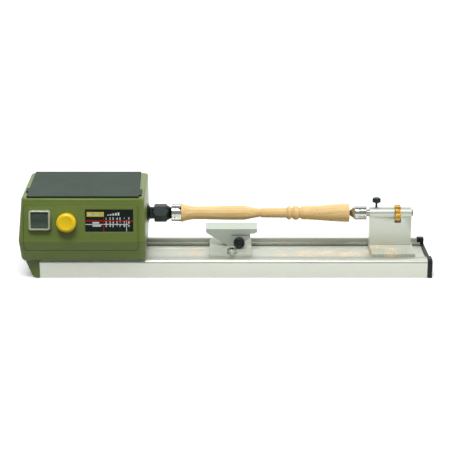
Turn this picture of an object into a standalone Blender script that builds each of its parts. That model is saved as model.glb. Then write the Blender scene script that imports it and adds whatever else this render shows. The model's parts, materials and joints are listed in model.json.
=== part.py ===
"""Bench wood lathe with a turned workpiece mounted between its centres.

Frame: metres, +Z up, +X from the headstock towards the tailstock, +Y away from the operator.
The origin lies on the table under the middle of the whole machine's box.
All lengths below are in millimetres; every mesh is scaled to metres when it is made.
"""

import math

import bmesh
import bpy
from mathutils import Euler, Matrix, Vector

MM = 0.001
GAP = 0.3  # clearance between neighbouring solids
ROUND = 24  # sides of most turned pieces
SMALL_ROUND = 16  # sides of screws and other small turned pieces

# Spindle line
SPINDLE_Y = 8.0
SPINDLE_Z = 71.5

# Bed extrusion
BED_LEFT = -250.5
BED_RIGHT = 269.7
BED_FRONT = -56.5
BED_REAR = 33.4
FRONT_RAIL_TOP = 25.0
FRONT_RAIL_INNER = -40.8
FRONT_RAIL_RADIUS = 4.0
CHANNEL_FLOOR = 20.0
REAR_RAIL_TOP = 27.8
REAR_RAIL_INNER = 27.0
RELIEF_FLOOR = 19.4  # shallow recess along the middle of the channel
RELIEF_FRONT, RELIEF_REAR = -18.0, 10.0
REAR_RAIL_STEP = 28.5  # inner face of the rear rail over its sloping foot
REAR_FOOT_LOW, REAR_FOOT_HIGH = 21.6, 22.4
FRONT_SLOT_Y = -36.4
FRONT_SLOT_NECK = 5.8
FRONT_SLOT_WIDE = 12.4
REAR_SLOT_Y = 22.4
REAR_SLOT_NECK = 8.2
REAR_SLOT_WIDE = 14.0
SLOT_LIP = 3.0  # thickness of the lips over each slot
FRONT_SLOT_FLOOR = 10.5
REAR_SLOT_FLOOR = 9.5
BED_WALL = 3.0
FRONT_RAIL_CEILING = 21.5  # underside of the front rail's top
CHANNEL_UNDER = 16.0  # underside of the channel's floor between the slots

# End cap
CAP_LEFT = BED_RIGHT + GAP
CAP_RIGHT = 276.2
CAP_PROUD = 0.9
CAP_SLANT = 2.3  # how much further left the cap's outer face lies at its rear edge
CAP_HOOD_LEFT = 264.8  # where the cap's thin hood over the rear rail starts
CAP_HOOD_LOW = 18.0
CAP_SCREW_Z = 13.6

# Headstock shells
HEAD_LEFT = -276.2
HEAD_RIGHT = -107.5
HEAD_FRONT = -70.0
HEAD_BACK = 68.0
CREASE_Z = 55.5
HEAD_TOP = 112.6
TOP_FRONT = -60.0
TOP_EDGE_Z = 110.0
WALL = 3.0
SHELL_UNDERSIDE = 26.3
TUNNEL_CEILING = 28.1
FLOOR_TOP = 33.0
CORNER_RADIUS = 6.0
END_DRAFT = 2.6  # how far the right end wall leans inwards at its lower rear corner
REAR_DROP = 2.5  # how far the rear wall leans inwards between crease and top edge
VENTS = 7
SLITS = 6
HEAD_BOLTS = ((-190.0, FRONT_SLOT_Y, "front"), (-235.0, REAR_SLOT_Y, "rear"))
BOLT_RADIUS = 2.5
HOUSING_SCREWS = (
    ("upper_left", -262.0, 98.0),
    ("upper_right", -121.0, 98.0),
    ("lower_left", -262.0, 64.0),
    ("lower_right", -121.0, 64.0),
)
GLAND_X, GLAND_Z = -150.0, 80.0
GLAND_REAR = 78.3
LEAN = math.atan2(TOP_FRONT - HEAD_FRONT, TOP_EDGE_Z - CREASE_Z)

# Control panel
PANEL_LEFT = -268.6
PANEL_RIGHT = -117.1
PANEL_BOTTOM = 42.6
PANEL_TOP = 103.0
PANEL_RADIUS = 5.0
PANEL_THICK = 2.6
SWITCH_X, SWITCH_Z = -247.0, 84.7
KNOB_X, KNOB_Z = -211.3, 81.6
LABEL_LEFT, LABEL_RIGHT = -186.6, -123.7
LABEL_BOTTOM, LABEL_TOP = 69.2, 97.8
KNOB_RADIUS = 13.0
KNOB_FRONT = 12.0
ROCKER_TILT = math.radians(7.0)
ROCKER_DEPTH = 1.4

# Inside the headstock
MOTOR_Y, MOTOR_Z = 43.0, 58.0
PULLEY_LEFT, PULLEY_RIGHT = -206.0, -196.0
SPINDLE_PULLEY_RADIUS = 18.0
MOTOR_PULLEY_RADIUS = 8.0
BELT_THICK = 1.6
BELT_GAP = 0.45

# Spindle nose, nut and driver
FLANGE_LEFT = -107.6
NECK_LEFT = -104.0
NUT_LEFT = -98.6
NUT_FLATS_END = -81.4
NUT_RIGHT = -75.5
DOG_LEFT = -75.1
DOG_FACE = -65.0
WOOD_LEFT = -61.8
WOOD_RIGHT = 167.8

# Tool rest
REST_LEFT, REST_RIGHT = -23.2, 34.3
REST_SCREW_X = 7.3
POST_X, POST_Y = 17.3, 2.0
PLATE_BOTTOM = CHANNEL_FLOOR + GAP
PLATE_TOP = 28.2
REST_BOTTOM = 28.5
BAR_LEFT, BAR_RIGHT = -28.1, 41.8
BAR_TOP = 60.3
SLIT_Z = 43.7
CLAMP_KNOB_Z = 36.4

# Tailstock
TAIL_LEFT, TAIL_RIGHT = 196.0, 254.6
COLUMN_RIGHT = 252.7
COLUMN_HALF = 9.0
TUBE_RADIUS = 8.5
COLUMN_SHOULDER = 66.8
COLUMN_SCREWS = (("left", 204.0), ("right", 246.0))
QUILL_NUT_LEFT, QUILL_NUT_RIGHT = 229.9, 237.9
QUILL_NUT_RADIUS = 11.0
LOCK_SCREW_X = 205.0
TAIL_CLAMP_X = 225.0

# Finishes: base colour, roughness, metallic
FINISHES = {
    "green_plastic": ((0.105, 0.150, 0.040), 0.5, 0.0),
    "black_plastic": ((0.010, 0.014, 0.012), 0.55, 0.0),
    "black_rubber": ((0.075, 0.095, 0.080), 0.8, 0.0),
    "yellow_plastic": ((0.85, 0.52, 0.02), 0.4, 0.0),
    "clear_plastic": ((0.35, 0.40, 0.30), 0.2, 0.0),
    "label_film": ((0.006, 0.016, 0.014), 0.4, 0.0),
    "aluminium": ((0.60, 0.62, 0.58), 0.4, 1.0),
    "cast_aluminium": ((0.40, 0.42, 0.39), 0.55, 1.0),
    "steel": ((0.50, 0.50, 0.50), 0.3, 1.0),
    "black_steel": ((0.030, 0.040, 0.036), 0.4, 0.9),
    "brass": ((0.78, 0.55, 0.20), 0.3, 1.0),
    "beech": ((0.74, 0.50, 0.22), 0.6, 0.0),
    "belt_rubber": ((0.015, 0.015, 0.015), 0.9, 0.0),
    "circuit_board": ((0.02, 0.12, 0.04), 0.5, 0.0),
}


# ----------------------------------------------------------------------------
# Making solids
# ----------------------------------------------------------------------------


def clear_scene():
    """Remove whatever objects the open file holds."""
    for old in list(bpy.data.objects):
        bpy.data.objects.remove(old, do_unlink=True)


def material(node, finish):
    """Return a Principled material for one node."""
    colour, roughness, metallic = FINISHES[finish]
    mat = bpy.data.materials.new(node)
    mat.use_nodes = True
    shader = mat.node_tree.nodes["Principled BSDF"]
    shader.inputs["Base Color"].default_value = (*colour, 1.0)
    shader.inputs["Roughness"].default_value = roughness
    shader.inputs["Metallic"].default_value = metallic
    mat.diffuse_color = (*colour, 1.0)
    return mat


def place(bm, node, finish, at=(0, 0, 0), turn=(0, 0, 0), smooth=False):
    """Turn a bmesh in millimetres into a named object whose origin is at a point in millimetres."""
    bmesh.ops.scale(bm, vec=(MM, MM, MM), verts=bm.verts)
    bmesh.ops.recalc_face_normals(bm, faces=bm.faces)
    mesh = bpy.data.meshes.new(node)
    bm.to_mesh(mesh)
    bm.free()
    if smooth:
        mesh.shade_smooth()
        mesh.set_sharp_from_angle(angle=math.radians(35))
    obj = bpy.data.objects.new(node, mesh)
    obj.location = Vector(at) * MM
    obj.rotation_euler = Euler(turn)
    if finish:
        mesh.materials.append(material(node, finish))
    bpy.context.scene.collection.objects.link(obj)
    return obj


def prism(outline, axis, low, high):
    """Extrude a closed outline along an axis; outline points are the other two axes, in order."""
    bm = bmesh.new()
    order = {"X": (2, 0, 1), "Y": (0, 2, 1), "Z": (0, 1, 2)}[axis]
    verts = []
    for u, v in outline:
        point = (u, v, low)
        verts.append(bm.verts.new([point[k] for k in order]))
    face = bm.faces.new(verts)
    out = bmesh.ops.extrude_face_region(bm, geom=[face])
    step = [0.0, 0.0, 0.0]
    step["XYZ".index(axis)] = high - low
    far_end = [g for g in out["geom"] if isinstance(g, bmesh.types.BMVert)]
    bmesh.ops.translate(bm, verts=far_end, vec=step)
    return bm


def block(x0, x1, y0, y1, z0, z1):
    """A plain box between two corners."""
    return prism([(x0, y0), (x1, y0), (x1, y1), (x0, y1)], "Z", z0, z1)


def rounded_outline(u0, u1, v0, v1, radius, steps=3):
    """A rectangle with rounded corners, counterclockwise."""
    corners = (
        (u1 - radius, v0 + radius, -90),
        (u1 - radius, v1 - radius, 0),
        (u0 + radius, v1 - radius, 90),
        (u0 + radius, v0 + radius, 180),
    )
    points = []
    for cu, cv, start in corners:
        for k in range(steps + 1):
            a = math.radians(start + 90 * k / steps)
            points.append((cu + radius * math.cos(a), cv + radius * math.sin(a)))
    return points


def turned(profile, axis="X", sides=ROUND):
    """Spin (along, radius) points about an axis through zero; a profile off the axis must be closed."""
    bm = bmesh.new()
    solid = abs(profile[0][1]) < 1e-9
    verts = [bm.verts.new((along, radius, 0.0)) for along, radius in profile]
    edges = [bm.edges.new(pair) for pair in zip(verts, verts[1:])]
    if not solid:
        edges.append(bm.edges.new((verts[-1], verts[0])))
    bmesh.ops.spin(
        bm,
        geom=verts + edges,
        cent=(0, 0, 0),
        axis=(1, 0, 0),
        angle=math.tau,
        steps=sides,
        use_merge=True,
    )
    bmesh.ops.remove_doubles(bm, verts=bm.verts, dist=1e-4)
    bmesh.ops.dissolve_degenerate(bm, edges=bm.edges, dist=1e-4)
    turns = {
        "X": Matrix.Identity(3),
        "Y": Matrix.Rotation(math.pi / 2, 3, "Z"),
        "Z": Matrix.Rotation(-math.pi / 2, 3, "Y"),
    }
    bmesh.ops.rotate(bm, verts=bm.verts, matrix=turns[axis])
    return bm


def rod(low, high, radius, axis="X", sides=SMALL_ROUND):
    """A plain cylinder about an axis through zero."""
    return turned([(low, 0.0), (low, radius), (high, radius), (high, 0.0)], axis, sides)


def tube(low, high, inner, outer, axis="X", sides=ROUND):
    """A plain ring about an axis through zero."""
    return turned([(low, inner), (low, outer), (high, outer), (high, inner)], axis, sides)


def moved(bm, x=0.0, y=0.0, z=0.0):
    """Shift a bmesh by a distance in millimetres."""
    bmesh.ops.translate(bm, verts=bm.verts, vec=(x, y, z))
    return bm


def shape(obj, tools, operation="DIFFERENCE"):
    """Cut, join or trim an object with bmeshes given in its own millimetres, one after another."""
    for tool_mesh in tools:
        tool = place(tool_mesh, obj.name + "_tool", None)
        tool.matrix_world = obj.matrix_basis.copy()
        step = obj.modifiers.new("shape", "BOOLEAN")
        step.operation = operation
        step.solver = "EXACT"
        step.object = tool
        bpy.context.view_layer.update()
        graph = bpy.context.evaluated_depsgraph_get()
        result = bpy.data.meshes.new_from_object(obj.evaluated_get(graph))
        obj.modifiers.clear()
        old = obj.data
        obj.data = result
        bpy.data.meshes.remove(old)
        bpy.data.objects.remove(tool, do_unlink=True)
    return tidy(obj)


def tidy(obj):
    """Merge doubled points and flatten leftover slivers after cutting."""
    bm = bmesh.new()
    bm.from_mesh(obj.data)
    bmesh.ops.remove_doubles(bm, verts=bm.verts, dist=2e-6)
    bmesh.ops.dissolve_degenerate(bm, edges=bm.edges, dist=2e-6)
    bmesh.ops.recalc_face_normals(bm, faces=bm.faces)
    bm.to_mesh(obj.data)
    bm.free()
    return obj


def screw(node, finish, at, axis, head, shank, socket=0.0, turn=(0, 0, 0)):
    """A screw: head = (from, to, radius), shank = (from, to, radius), along its axis from its origin."""
    head_low, head_high, head_radius = head
    shank_low, shank_high, shank_radius = shank
    if shank_high <= head_low:
        profile = [
            (shank_low, 0.0),
            (shank_low, shank_radius),
            (head_low, shank_radius),
            (head_low, head_radius),
            (head_high, head_radius),
            (head_high, 0.0),
        ]
    else:
        profile = [
            (head_low, 0.0),
            (head_low, head_radius),
            (head_high, head_radius),
            (head_high, shank_radius),
            (shank_high, shank_radius),
            (shank_high, 0.0),
        ]
    obj = place(turned(profile, axis, SMALL_ROUND), node, finish, at, turn, smooth=True)
    if socket:
        key = rod(head_high - 0.5 * (head_high - head_low), head_high + 1.0, socket, axis, 6)
        shape(obj, [key])
    return obj


# ----------------------------------------------------------------------------
# Bed
# ----------------------------------------------------------------------------


def slot_outline(centre, neck, wide, floor):
    """Points down into a T-slot and out again, from its front lip to its rear lip."""
    lip = CHANNEL_FLOOR - SLOT_LIP
    return [
        (centre - neck / 2, CHANNEL_FLOOR),
        (centre - neck / 2, lip),
        (centre - wide / 2, lip),
        (centre - wide / 2, floor),
        (centre + wide / 2, floor),
        (centre + wide / 2, lip),
        (centre + neck / 2, lip),
    ]


def rail_arc(front, top, radius, steps=4):
    """Points of the front rail's rounded upper front edge."""
    points = []
    for k in range(steps + 1):
        a = math.pi - math.pi / 2 * k / steps
        points.append((front + radius + radius * math.cos(a), top - radius + radius * math.sin(a)))
    return points


def make_bed():
    """The extruded bed: a front rail, a channel with two T-slots and a higher rear rail."""
    front_slot = slot_outline(FRONT_SLOT_Y, FRONT_SLOT_NECK, FRONT_SLOT_WIDE, FRONT_SLOT_FLOOR)
    rear_slot = slot_outline(REAR_SLOT_Y, REAR_SLOT_NECK, REAR_SLOT_WIDE, REAR_SLOT_FLOOR)
    outline = [(BED_FRONT, 0.0)]
    outline += rail_arc(BED_FRONT, FRONT_RAIL_TOP, FRONT_RAIL_RADIUS)
    outline += [(FRONT_RAIL_INNER, FRONT_RAIL_TOP), (FRONT_RAIL_INNER, CHANNEL_FLOOR)]
    outline += front_slot
    outline += [(FRONT_SLOT_Y + FRONT_SLOT_NECK / 2, CHANNEL_FLOOR)]
    outline += [(RELIEF_FRONT, CHANNEL_FLOOR), (RELIEF_FRONT, RELIEF_FLOOR)]
    outline += [(RELIEF_REAR, RELIEF_FLOOR), (RELIEF_REAR, CHANNEL_FLOOR)]
    outline += rear_slot
    outline += [(REAR_SLOT_Y + REAR_SLOT_NECK / 2, CHANNEL_FLOOR), (REAR_RAIL_INNER, CHANNEL_FLOOR)]
    outline += [(REAR_RAIL_INNER, REAR_FOOT_LOW), (REAR_RAIL_STEP, REAR_FOOT_HIGH)]
    outline += [(REAR_RAIL_STEP, REAR_RAIL_TOP)]
    outline += [(BED_REAR, REAR_RAIL_TOP), (BED_REAR, 0.0), (BED_REAR - BED_WALL, 0.0)]
    rear_under = REAR_SLOT_FLOOR - BED_WALL
    front_under = FRONT_SLOT_FLOOR - BED_WALL
    rear_web = REAR_SLOT_Y - REAR_SLOT_WIDE / 2 - BED_WALL
    front_web = FRONT_SLOT_Y + FRONT_SLOT_WIDE / 2 + BED_WALL
    rail_web = FRONT_SLOT_Y - FRONT_SLOT_WIDE / 2 - BED_WALL
    outline += [(BED_REAR - BED_WALL, rear_under), (rear_web, rear_under), (rear_web, CHANNEL_UNDER)]
    outline += [(front_web, CHANNEL_UNDER), (front_web, front_under)]
    outline += [(rail_web, front_under), (rail_web, FRONT_RAIL_CEILING)]
    outline += [(BED_FRONT + BED_WALL, FRONT_RAIL_CEILING), (BED_FRONT + BED_WALL, 0.0)]
    place(prism(outline, "X", BED_LEFT, BED_RIGHT), "bed_extrusion", "aluminium")


def cap_face(y):
    """Where the end cap's slanted outer face lies at a given depth."""
    front, rear = BED_FRONT - CAP_PROUD, BED_REAR + CAP_PROUD
    return CAP_RIGHT - CAP_SLANT * (y - front) / (rear - front)


def cap_hood():
    """The end cap's thin hood over the end of the rear rail."""
    inner, top, rear = REAR_RAIL_STEP, REAR_RAIL_TOP, BED_REAR
    outline = [
        (inner - CAP_PROUD, REAR_FOOT_HIGH + GAP),
        (inner - GAP, REAR_FOOT_HIGH + GAP),
        (inner - GAP, top + GAP),
        (rear + GAP, top + GAP),
        (rear + GAP, CAP_HOOD_LOW),
        (rear + CAP_PROUD, CAP_HOOD_LOW),
        (rear + CAP_PROUD, top + CAP_PROUD),
        (inner - CAP_PROUD, top + CAP_PROUD),
    ]
    return prism(outline, "X", CAP_HOOD_LEFT, CAP_LEFT + 1.0)


def make_end_cap():
    """The moulded cap that closes the bed's right end, and its two screws."""
    front = BED_FRONT - CAP_PROUD
    outline = [(front, 0.0)]
    outline += rail_arc(front, FRONT_RAIL_TOP + CAP_PROUD, FRONT_RAIL_RADIUS + CAP_PROUD)
    outline += [
        (FRONT_RAIL_INNER + CAP_PROUD, FRONT_RAIL_TOP + CAP_PROUD),
        (FRONT_RAIL_INNER + CAP_PROUD, CHANNEL_FLOOR + CAP_PROUD),
        (REAR_RAIL_INNER - CAP_PROUD, CHANNEL_FLOOR + CAP_PROUD),
        (REAR_RAIL_INNER - CAP_PROUD, REAR_RAIL_TOP + CAP_PROUD),
        (BED_REAR + CAP_PROUD, REAR_RAIL_TOP + CAP_PROUD),
        (BED_REAR + CAP_PROUD, 0.0),
    ]
    body = prism(outline, "X", CAP_LEFT, CAP_RIGHT)
    for vert in body.verts:
        if vert.co.x > CAP_LEFT + 1.0:
            vert.co.x = cap_face(vert.co.y)
    cap = place(body, "bed_end_cap", "black_plastic")
    shape(cap, [cap_hood()], "UNION")
    cuts = []
    for y in (FRONT_SLOT_Y, REAR_SLOT_Y):
        cuts.append(moved(rod(CAP_LEFT - 1, CAP_RIGHT + 1, 1.9), y=y, z=CAP_SCREW_Z))
        cuts.append(moved(rod(cap_face(y) - 2.6, CAP_RIGHT + 1, 3.5), y=y, z=CAP_SCREW_Z))
    shape(cap, cuts)
    for side, y in (("front", FRONT_SLOT_Y), ("rear", REAR_SLOT_Y)):
        screw(
            "end_cap_screw_" + side,
            "steel",
            (cap_face(y), y, CAP_SCREW_Z),
            "X",
            head=(-2.3, -0.5, 3.1),
            shank=(-14.0, -2.3, 1.6),
            socket=1.3,
        )


# ----------------------------------------------------------------------------
# Headstock shells
# ----------------------------------------------------------------------------


def loft(levels):
    """Join rounded rectangles, one per (z, x0, x1, y0, y1, radius), into a closed solid."""
    bm = bmesh.new()
    rings = []
    for z, x0, x1, y0, y1, radius in levels:
        outline = rounded_outline(x0, x1, y0, y1, radius)
        rings.append([bm.verts.new((x, y, z)) for x, y in outline])
    for low, high in zip(rings, rings[1:]):
        count = len(low)
        for k in range(count):
            after = (k + 1) % count
            bm.faces.new((low[k], low[after], high[after], high[k]))
    bm.faces.new(list(reversed(rings[0])))
    bm.faces.new(rings[-1])
    return bm


def drafted(bm):
    """Lean a shell's right end wall inwards towards its lower rear corner."""
    for vert in bm.verts:
        if vert.co.x > (HEAD_LEFT + HEAD_RIGHT) / 2:
            back = (vert.co.y - HEAD_FRONT) / (HEAD_BACK - HEAD_FRONT)
            low = max(0.0, 1 - vert.co.z / TOP_EDGE_Z)
            vert.co.x -= END_DRAFT * back * low
    return bm


def rear_wall(z):
    """Where the upper shell's rear wall lies at a given height."""
    return HEAD_BACK - REAR_DROP * (z - CREASE_Z) / (TOP_EDGE_Z - CREASE_Z)


def head_levels(inset=0.0):
    """Outer outline of the upper shell, or a copy set in by a wall."""
    radius = CORNER_RADIUS - inset / 2
    low = (HEAD_LEFT + inset, HEAD_RIGHT - inset, HEAD_FRONT + inset, HEAD_BACK - inset)
    high = (
        HEAD_LEFT + 4.6 + inset,
        HEAD_RIGHT - 1.5 - inset,
        TOP_FRONT + inset,
        HEAD_BACK - REAR_DROP - inset,
    )
    return [(CREASE_Z, *low, radius), (TOP_EDGE_Z, *high, radius)]


def panel_window(grow):
    """A prism through the front wall, in the shape of the control panel grown by a margin."""
    outline = rounded_outline(
        PANEL_LEFT - grow,
        PANEL_RIGHT + grow,
        PANEL_BOTTOM - grow,
        PANEL_TOP + grow,
        PANEL_RADIUS + grow,
    )
    return prism(outline, "Y", HEAD_FRONT - 10.0, HEAD_FRONT + 25.0)


def make_lower_shell():
    """The lower half of the headstock, wrapped over the bed, with a foot at its left end."""
    seam = CREASE_Z - GAP / 2
    levels = [
        (0.0, -258.0, -108.9, BED_FRONT, 65.8, 4.0),
        (3.7, -261.5, -108.9, BED_FRONT, 66.0, 4.0),
        (SHELL_UNDERSIDE, -270.6, -108.6, BED_FRONT, 66.6, 4.0),
        (SHELL_UNDERSIDE + 0.2, -271.2, -108.6, -62.6, 66.6, 5.0),
        (30.0, -273.6, -108.1, -65.4, 67.0, 6.0),
        (seam, HEAD_LEFT, HEAD_RIGHT, HEAD_FRONT, HEAD_BACK, CORNER_RADIUS),
    ]
    shell = place(drafted(loft(levels)), "headstock_lower_shell", "green_plastic")
    hollow = [
        (FLOOR_TOP, -271.0, -111.0, -62.8, 64.0, 4.5),
        (CREASE_Z + 1.0, HEAD_LEFT + WALL, HEAD_RIGHT - WALL, HEAD_FRONT + WALL, HEAD_BACK - WALL, 4.5),
    ]
    bed_end = BED_LEFT - GAP
    rail_side = BED_REAR + GAP
    cuts = [
        drafted(loft(hollow)),
        block(bed_end, -90, -90, rail_side, -1, SHELL_UNDERSIDE),
        block(bed_end, -90, REAR_RAIL_INNER - GAP, rail_side, SHELL_UNDERSIDE - 1, TUNNEL_CEILING),
        block(-247.0, -114.0, rail_side + 3.0, 62.5, -1, FLOOR_TOP - 3.5),
        panel_window(GAP),
    ]
    for x, y, _ in HEAD_BOLTS:
        cuts.append(moved(rod(20.0, 40.0, BOLT_RADIUS + GAP, "Z"), x=x, y=y))
    for k in range(VENTS):
        x = -175.0 + 9.0 * k
        cuts.append(block(x, x + 4.2, 60.0, 75.0, 38.0, 50.0))
    shape(shell, cuts)


def make_upper_shell():
    """The upper half of the headstock, open below, with the control panel's window."""
    seam = CREASE_Z + GAP / 2
    levels = head_levels()
    levels[0] = (seam, *levels[0][1:])
    z, x0, x1, y0, y1, radius = levels[1]
    edge = HEAD_TOP - z
    for turn in (30, 60, 90):
        a = math.radians(turn)
        inset = edge * (1 - math.cos(a))
        lift = edge * math.sin(a)
        levels.append((z + lift, x0 + inset, x1 - inset, y0 + inset, y1 - inset, radius))
    shell = place(drafted(loft(levels)), "headstock_upper_shell", "green_plastic")
    low, high = head_levels(WALL)
    hollow = drafted(loft([(seam - 1.0, *low[1:]), (HEAD_TOP - WALL, *high[1:])]))
    cuts = [
        hollow,
        panel_window(GAP),
        moved(rod(-120, -100, 10.0, sides=ROUND), y=SPINDLE_Y, z=SPINDLE_Z),
    ]
    for k in range(SLITS):
        z = 66.0 + 6.0 * k
        cuts.append(block(-250.0, -215.0, 55.0, 75.0, z, z + 2.6))
    cuts.append(moved(rod(55.0, 75.0, 6.4, "Y"), x=GLAND_X, z=GLAND_Z))
    for _, x, z in HOUSING_SCREWS:
        cuts.append(moved(rod(55.0, 80.0, 1.9, "Y", 12), x=x, z=z))
    shape(shell, cuts)


def make_housing_screws():
    """Four pan-head screws in the rear wall that hold the upper shell to its frame."""
    for name, x, z in HOUSING_SCREWS:
        screw(
            "housing_screw_" + name,
            "steel",
            (x, rear_wall(z), z),
            "Y",
            head=(0.5, 2.3, 3.4),
            shank=(-5.5, 0.5, 1.5),
            socket=1.3,
        )


def make_top_mat():
    """The ribbed mat on the lid, with a small tab at each side."""
    left_front, right_front = -264.4, -115.7
    left_rear, right_rear = -265.4, -118.8
    front, rear = -57.6, 61.0
    outline = [
        (left_front, front),
        (right_front, front),
        (right_front - 0.5, -50.0),
        (right_front + 3.2, -50.0),
        (right_front + 3.0, -24.0),
        (right_front - 0.8, -24.0),
        (right_rear, rear),
        (left_rear, rear),
        (left_front - 0.3, -18.0),
        (left_front - 3.6, -18.0),
        (left_front - 3.3, -34.0),
        (left_front - 0.2, -34.0),
    ]
    place(prism(outline, "Z", HEAD_TOP + GAP, HEAD_TOP + 2.6), "top_mat", "black_rubber")


def panel_strip(depth_front, depth_rear):
    """The bent skin of the headstock's front between two depths below its surface, as a prism."""
    drop = (-64.7 - HEAD_FRONT) / (30.0 - CREASE_Z)
    low_z, high_z = 36.0, TOP_EDGE_Z

    def front_y(z):
        if z >= CREASE_Z:
            return HEAD_FRONT + (z - CREASE_Z) * math.tan(LEAN)
        return HEAD_FRONT + (z - CREASE_Z) * drop

    stations = (low_z, CREASE_Z, high_z)
    outline = [(front_y(z) + depth_front, z) for z in stations]
    outline += [(front_y(z) + depth_rear, z) for z in reversed(stations)]
    return prism(outline, "X", HEAD_LEFT - 5.0, HEAD_RIGHT + 5.0)


def make_panel():
    """The bent front panel with openings for the switch and the speed control."""
    panel = place(panel_strip(0.0, PANEL_THICK), "control_panel", "green_plastic")
    shape(panel, [panel_window(0.0)], "INTERSECT")
    openings = [
        on_panel(block(-13.0, 13.0, -10, 20, -11.6, 11.6), SWITCH_X, SWITCH_Z),
        on_panel(rod(-10, 20, 4.3, "Y"), KNOB_X, KNOB_Z),
    ]
    mid_x = (LABEL_LEFT + LABEL_RIGHT) / 2
    mid_z = (LABEL_BOTTOM + LABEL_TOP) / 2
    half_x = (LABEL_RIGHT - LABEL_LEFT) / 2
    half_u = (LABEL_TOP - LABEL_BOTTOM) / 2 / math.cos(LEAN)
    openings.append(
        on_panel(
            block(-half_x - GAP, half_x + GAP, -5.0, 1.0, -half_u - GAP, half_u + GAP),
            mid_x,
            mid_z,
        )
    )
    shape(panel, openings)
    place(
        block(-half_x, half_x, -0.1, 0.7, -half_u, half_u),
        "label_plate",
        "label_film",
        panel_point(mid_x, mid_z),
        (-LEAN, 0, 0),
    )


def panel_point(x, z):
    """The point of the panel's upper face at a given x and height."""
    return (x, HEAD_FRONT + (z - CREASE_Z) * math.tan(LEAN), z)


def on_panel(bm, x, z):
    """Carry a shape drawn flat, front towards -Y, onto the leaning panel."""
    bmesh.ops.rotate(bm, verts=bm.verts, matrix=Matrix.Rotation(-LEAN, 3, "X"))
    return moved(bm, *panel_point(x, z))


# ----------------------------------------------------------------------------
# Controls on the panel
# ----------------------------------------------------------------------------


def make_switch():
    """The rocker switch: its housing, the clear dust cover round it and the rocker."""
    at = panel_point(SWITCH_X, SWITCH_Z)
    lean = (-LEAN, 0, 0)
    housing = place(block(-12.7, 12.7, -1.8, 22.0, -11.3, 11.3), "switch_housing", "black_plastic", at, lean)
    shape(housing, [block(-11.4, 11.4, -5.0, 7.0, -10.0, 10.0)])
    flange = prism(rounded_outline(-16.3, 16.3, -15.1, 15.1, 3.5), "Y", -1.6, -GAP)
    cover = place(flange, "switch_cover", "clear_plastic", at, lean, smooth=True)
    shape(cover, [prism(rounded_outline(-14.3, 14.3, -13.3, 13.3, 3.0), "Y", -6.6, -1.0)], "UNION")
    shape(cover, [prism(rounded_outline(-13.1, 13.1, -12.1, 12.1, 1.8), "Y", -5.4, 5.0)])
    outline = [(-3.2, 9.0), (-1.4, 0.0), (-3.2, -9.0), (3.2, -9.0), (3.2, 9.0)]
    pivot = Matrix.Rotation(-LEAN, 3, "X") @ Vector((0, ROCKER_DEPTH, 0)) + Vector(at)
    place(
        prism(outline, "X", -10.8, 10.8),
        "switch_rocker",
        "black_plastic",
        tuple(pivot),
        (-LEAN - ROCKER_TILT, 0, 0),
    )


def make_speed_control():
    """The yellow speed knob, its shaft, and the potentiometer behind the panel."""
    at = panel_point(KNOB_X, KNOB_Z)
    lean = (-LEAN, 0, 0)
    front, rim = -KNOB_FRONT, KNOB_RADIUS
    profile = [
        (front + 0.8, 0.0),
        (front + 0.8, 7.6),
        (front, 9.4),
        (front + 0.4, 11.1),
        (front + 1.8, rim - 0.5),
        (front + 3.6, rim),
        (-1.0, rim),
        (-1.0, 3.4),
        (-8.0, 3.4),
        (-8.0, 0.0),
    ]
    place(turned(profile, "Y", 32), "speed_knob", "yellow_plastic", at, lean, smooth=True)
    place(rod(-7.6, 11.0, 3.0, "Y"), "speed_knob_shaft", "steel", at, lean, smooth=True)
    body = [(-0.6, 3.4), (-0.6, 3.95), (3.2, 3.95), (3.2, 8.4), (14.0, 8.4), (14.0, 3.4)]
    place(turned(body, "Y"), "speed_potentiometer", "steel", at, lean, smooth=True)
    board_at = panel_point(-158.0, 84.0)
    place(block(-34.0, 34.0, 8.0, 9.6, -20.0, 20.0), "control_board", "circuit_board", board_at, lean)


def make_cord_gland():
    """The strain-relief gland in the rear wall, without a cord."""
    wall = rear_wall(GLAND_Z)
    rear = GLAND_REAR - wall
    profile = [
        (-9.0, 3.2),
        (-9.0, 6.0),
        (0.8, 6.0),
        (0.8, 9.0),
        (rear - 3.0, 9.0),
        (rear, 5.5),
        (rear, 3.2),
    ]
    at = (GLAND_X, wall, GLAND_Z)
    place(turned(profile, "Y", SMALL_ROUND), "cord_gland", "black_plastic", at, smooth=True)


# ----------------------------------------------------------------------------
# Inside the headstock
# ----------------------------------------------------------------------------


def make_mounting():
    """The plate between headstock and bed, and the two bolts that hold them together."""
    plate = place(
        block(-246.0, -114.0, -40.3, 26.4, PLATE_BOTTOM, 25.9),
        "headstock_plate",
        "cast_aluminium",
    )
    shape(plate, [moved(rod(10, 40, BOLT_RADIUS + GAP, "Z"), x=x, y=y) for x, y, _ in HEAD_BOLTS])
    for x, y, side in HEAD_BOLTS:
        profile = [
            (11.0, 0.0),
            (11.0, 5.7),
            (16.6, 5.7),
            (16.6, BOLT_RADIUS),
            (FLOOR_TOP + GAP, BOLT_RADIUS),
            (FLOOR_TOP + GAP, 5.0),
            (FLOOR_TOP + 5.3, 5.0),
            (FLOOR_TOP + 5.3, 0.0),
        ]
        place(turned(profile, "Z", SMALL_ROUND), "headstock_bolt_" + side, "steel", (x, y, 0), smooth=True)


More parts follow.
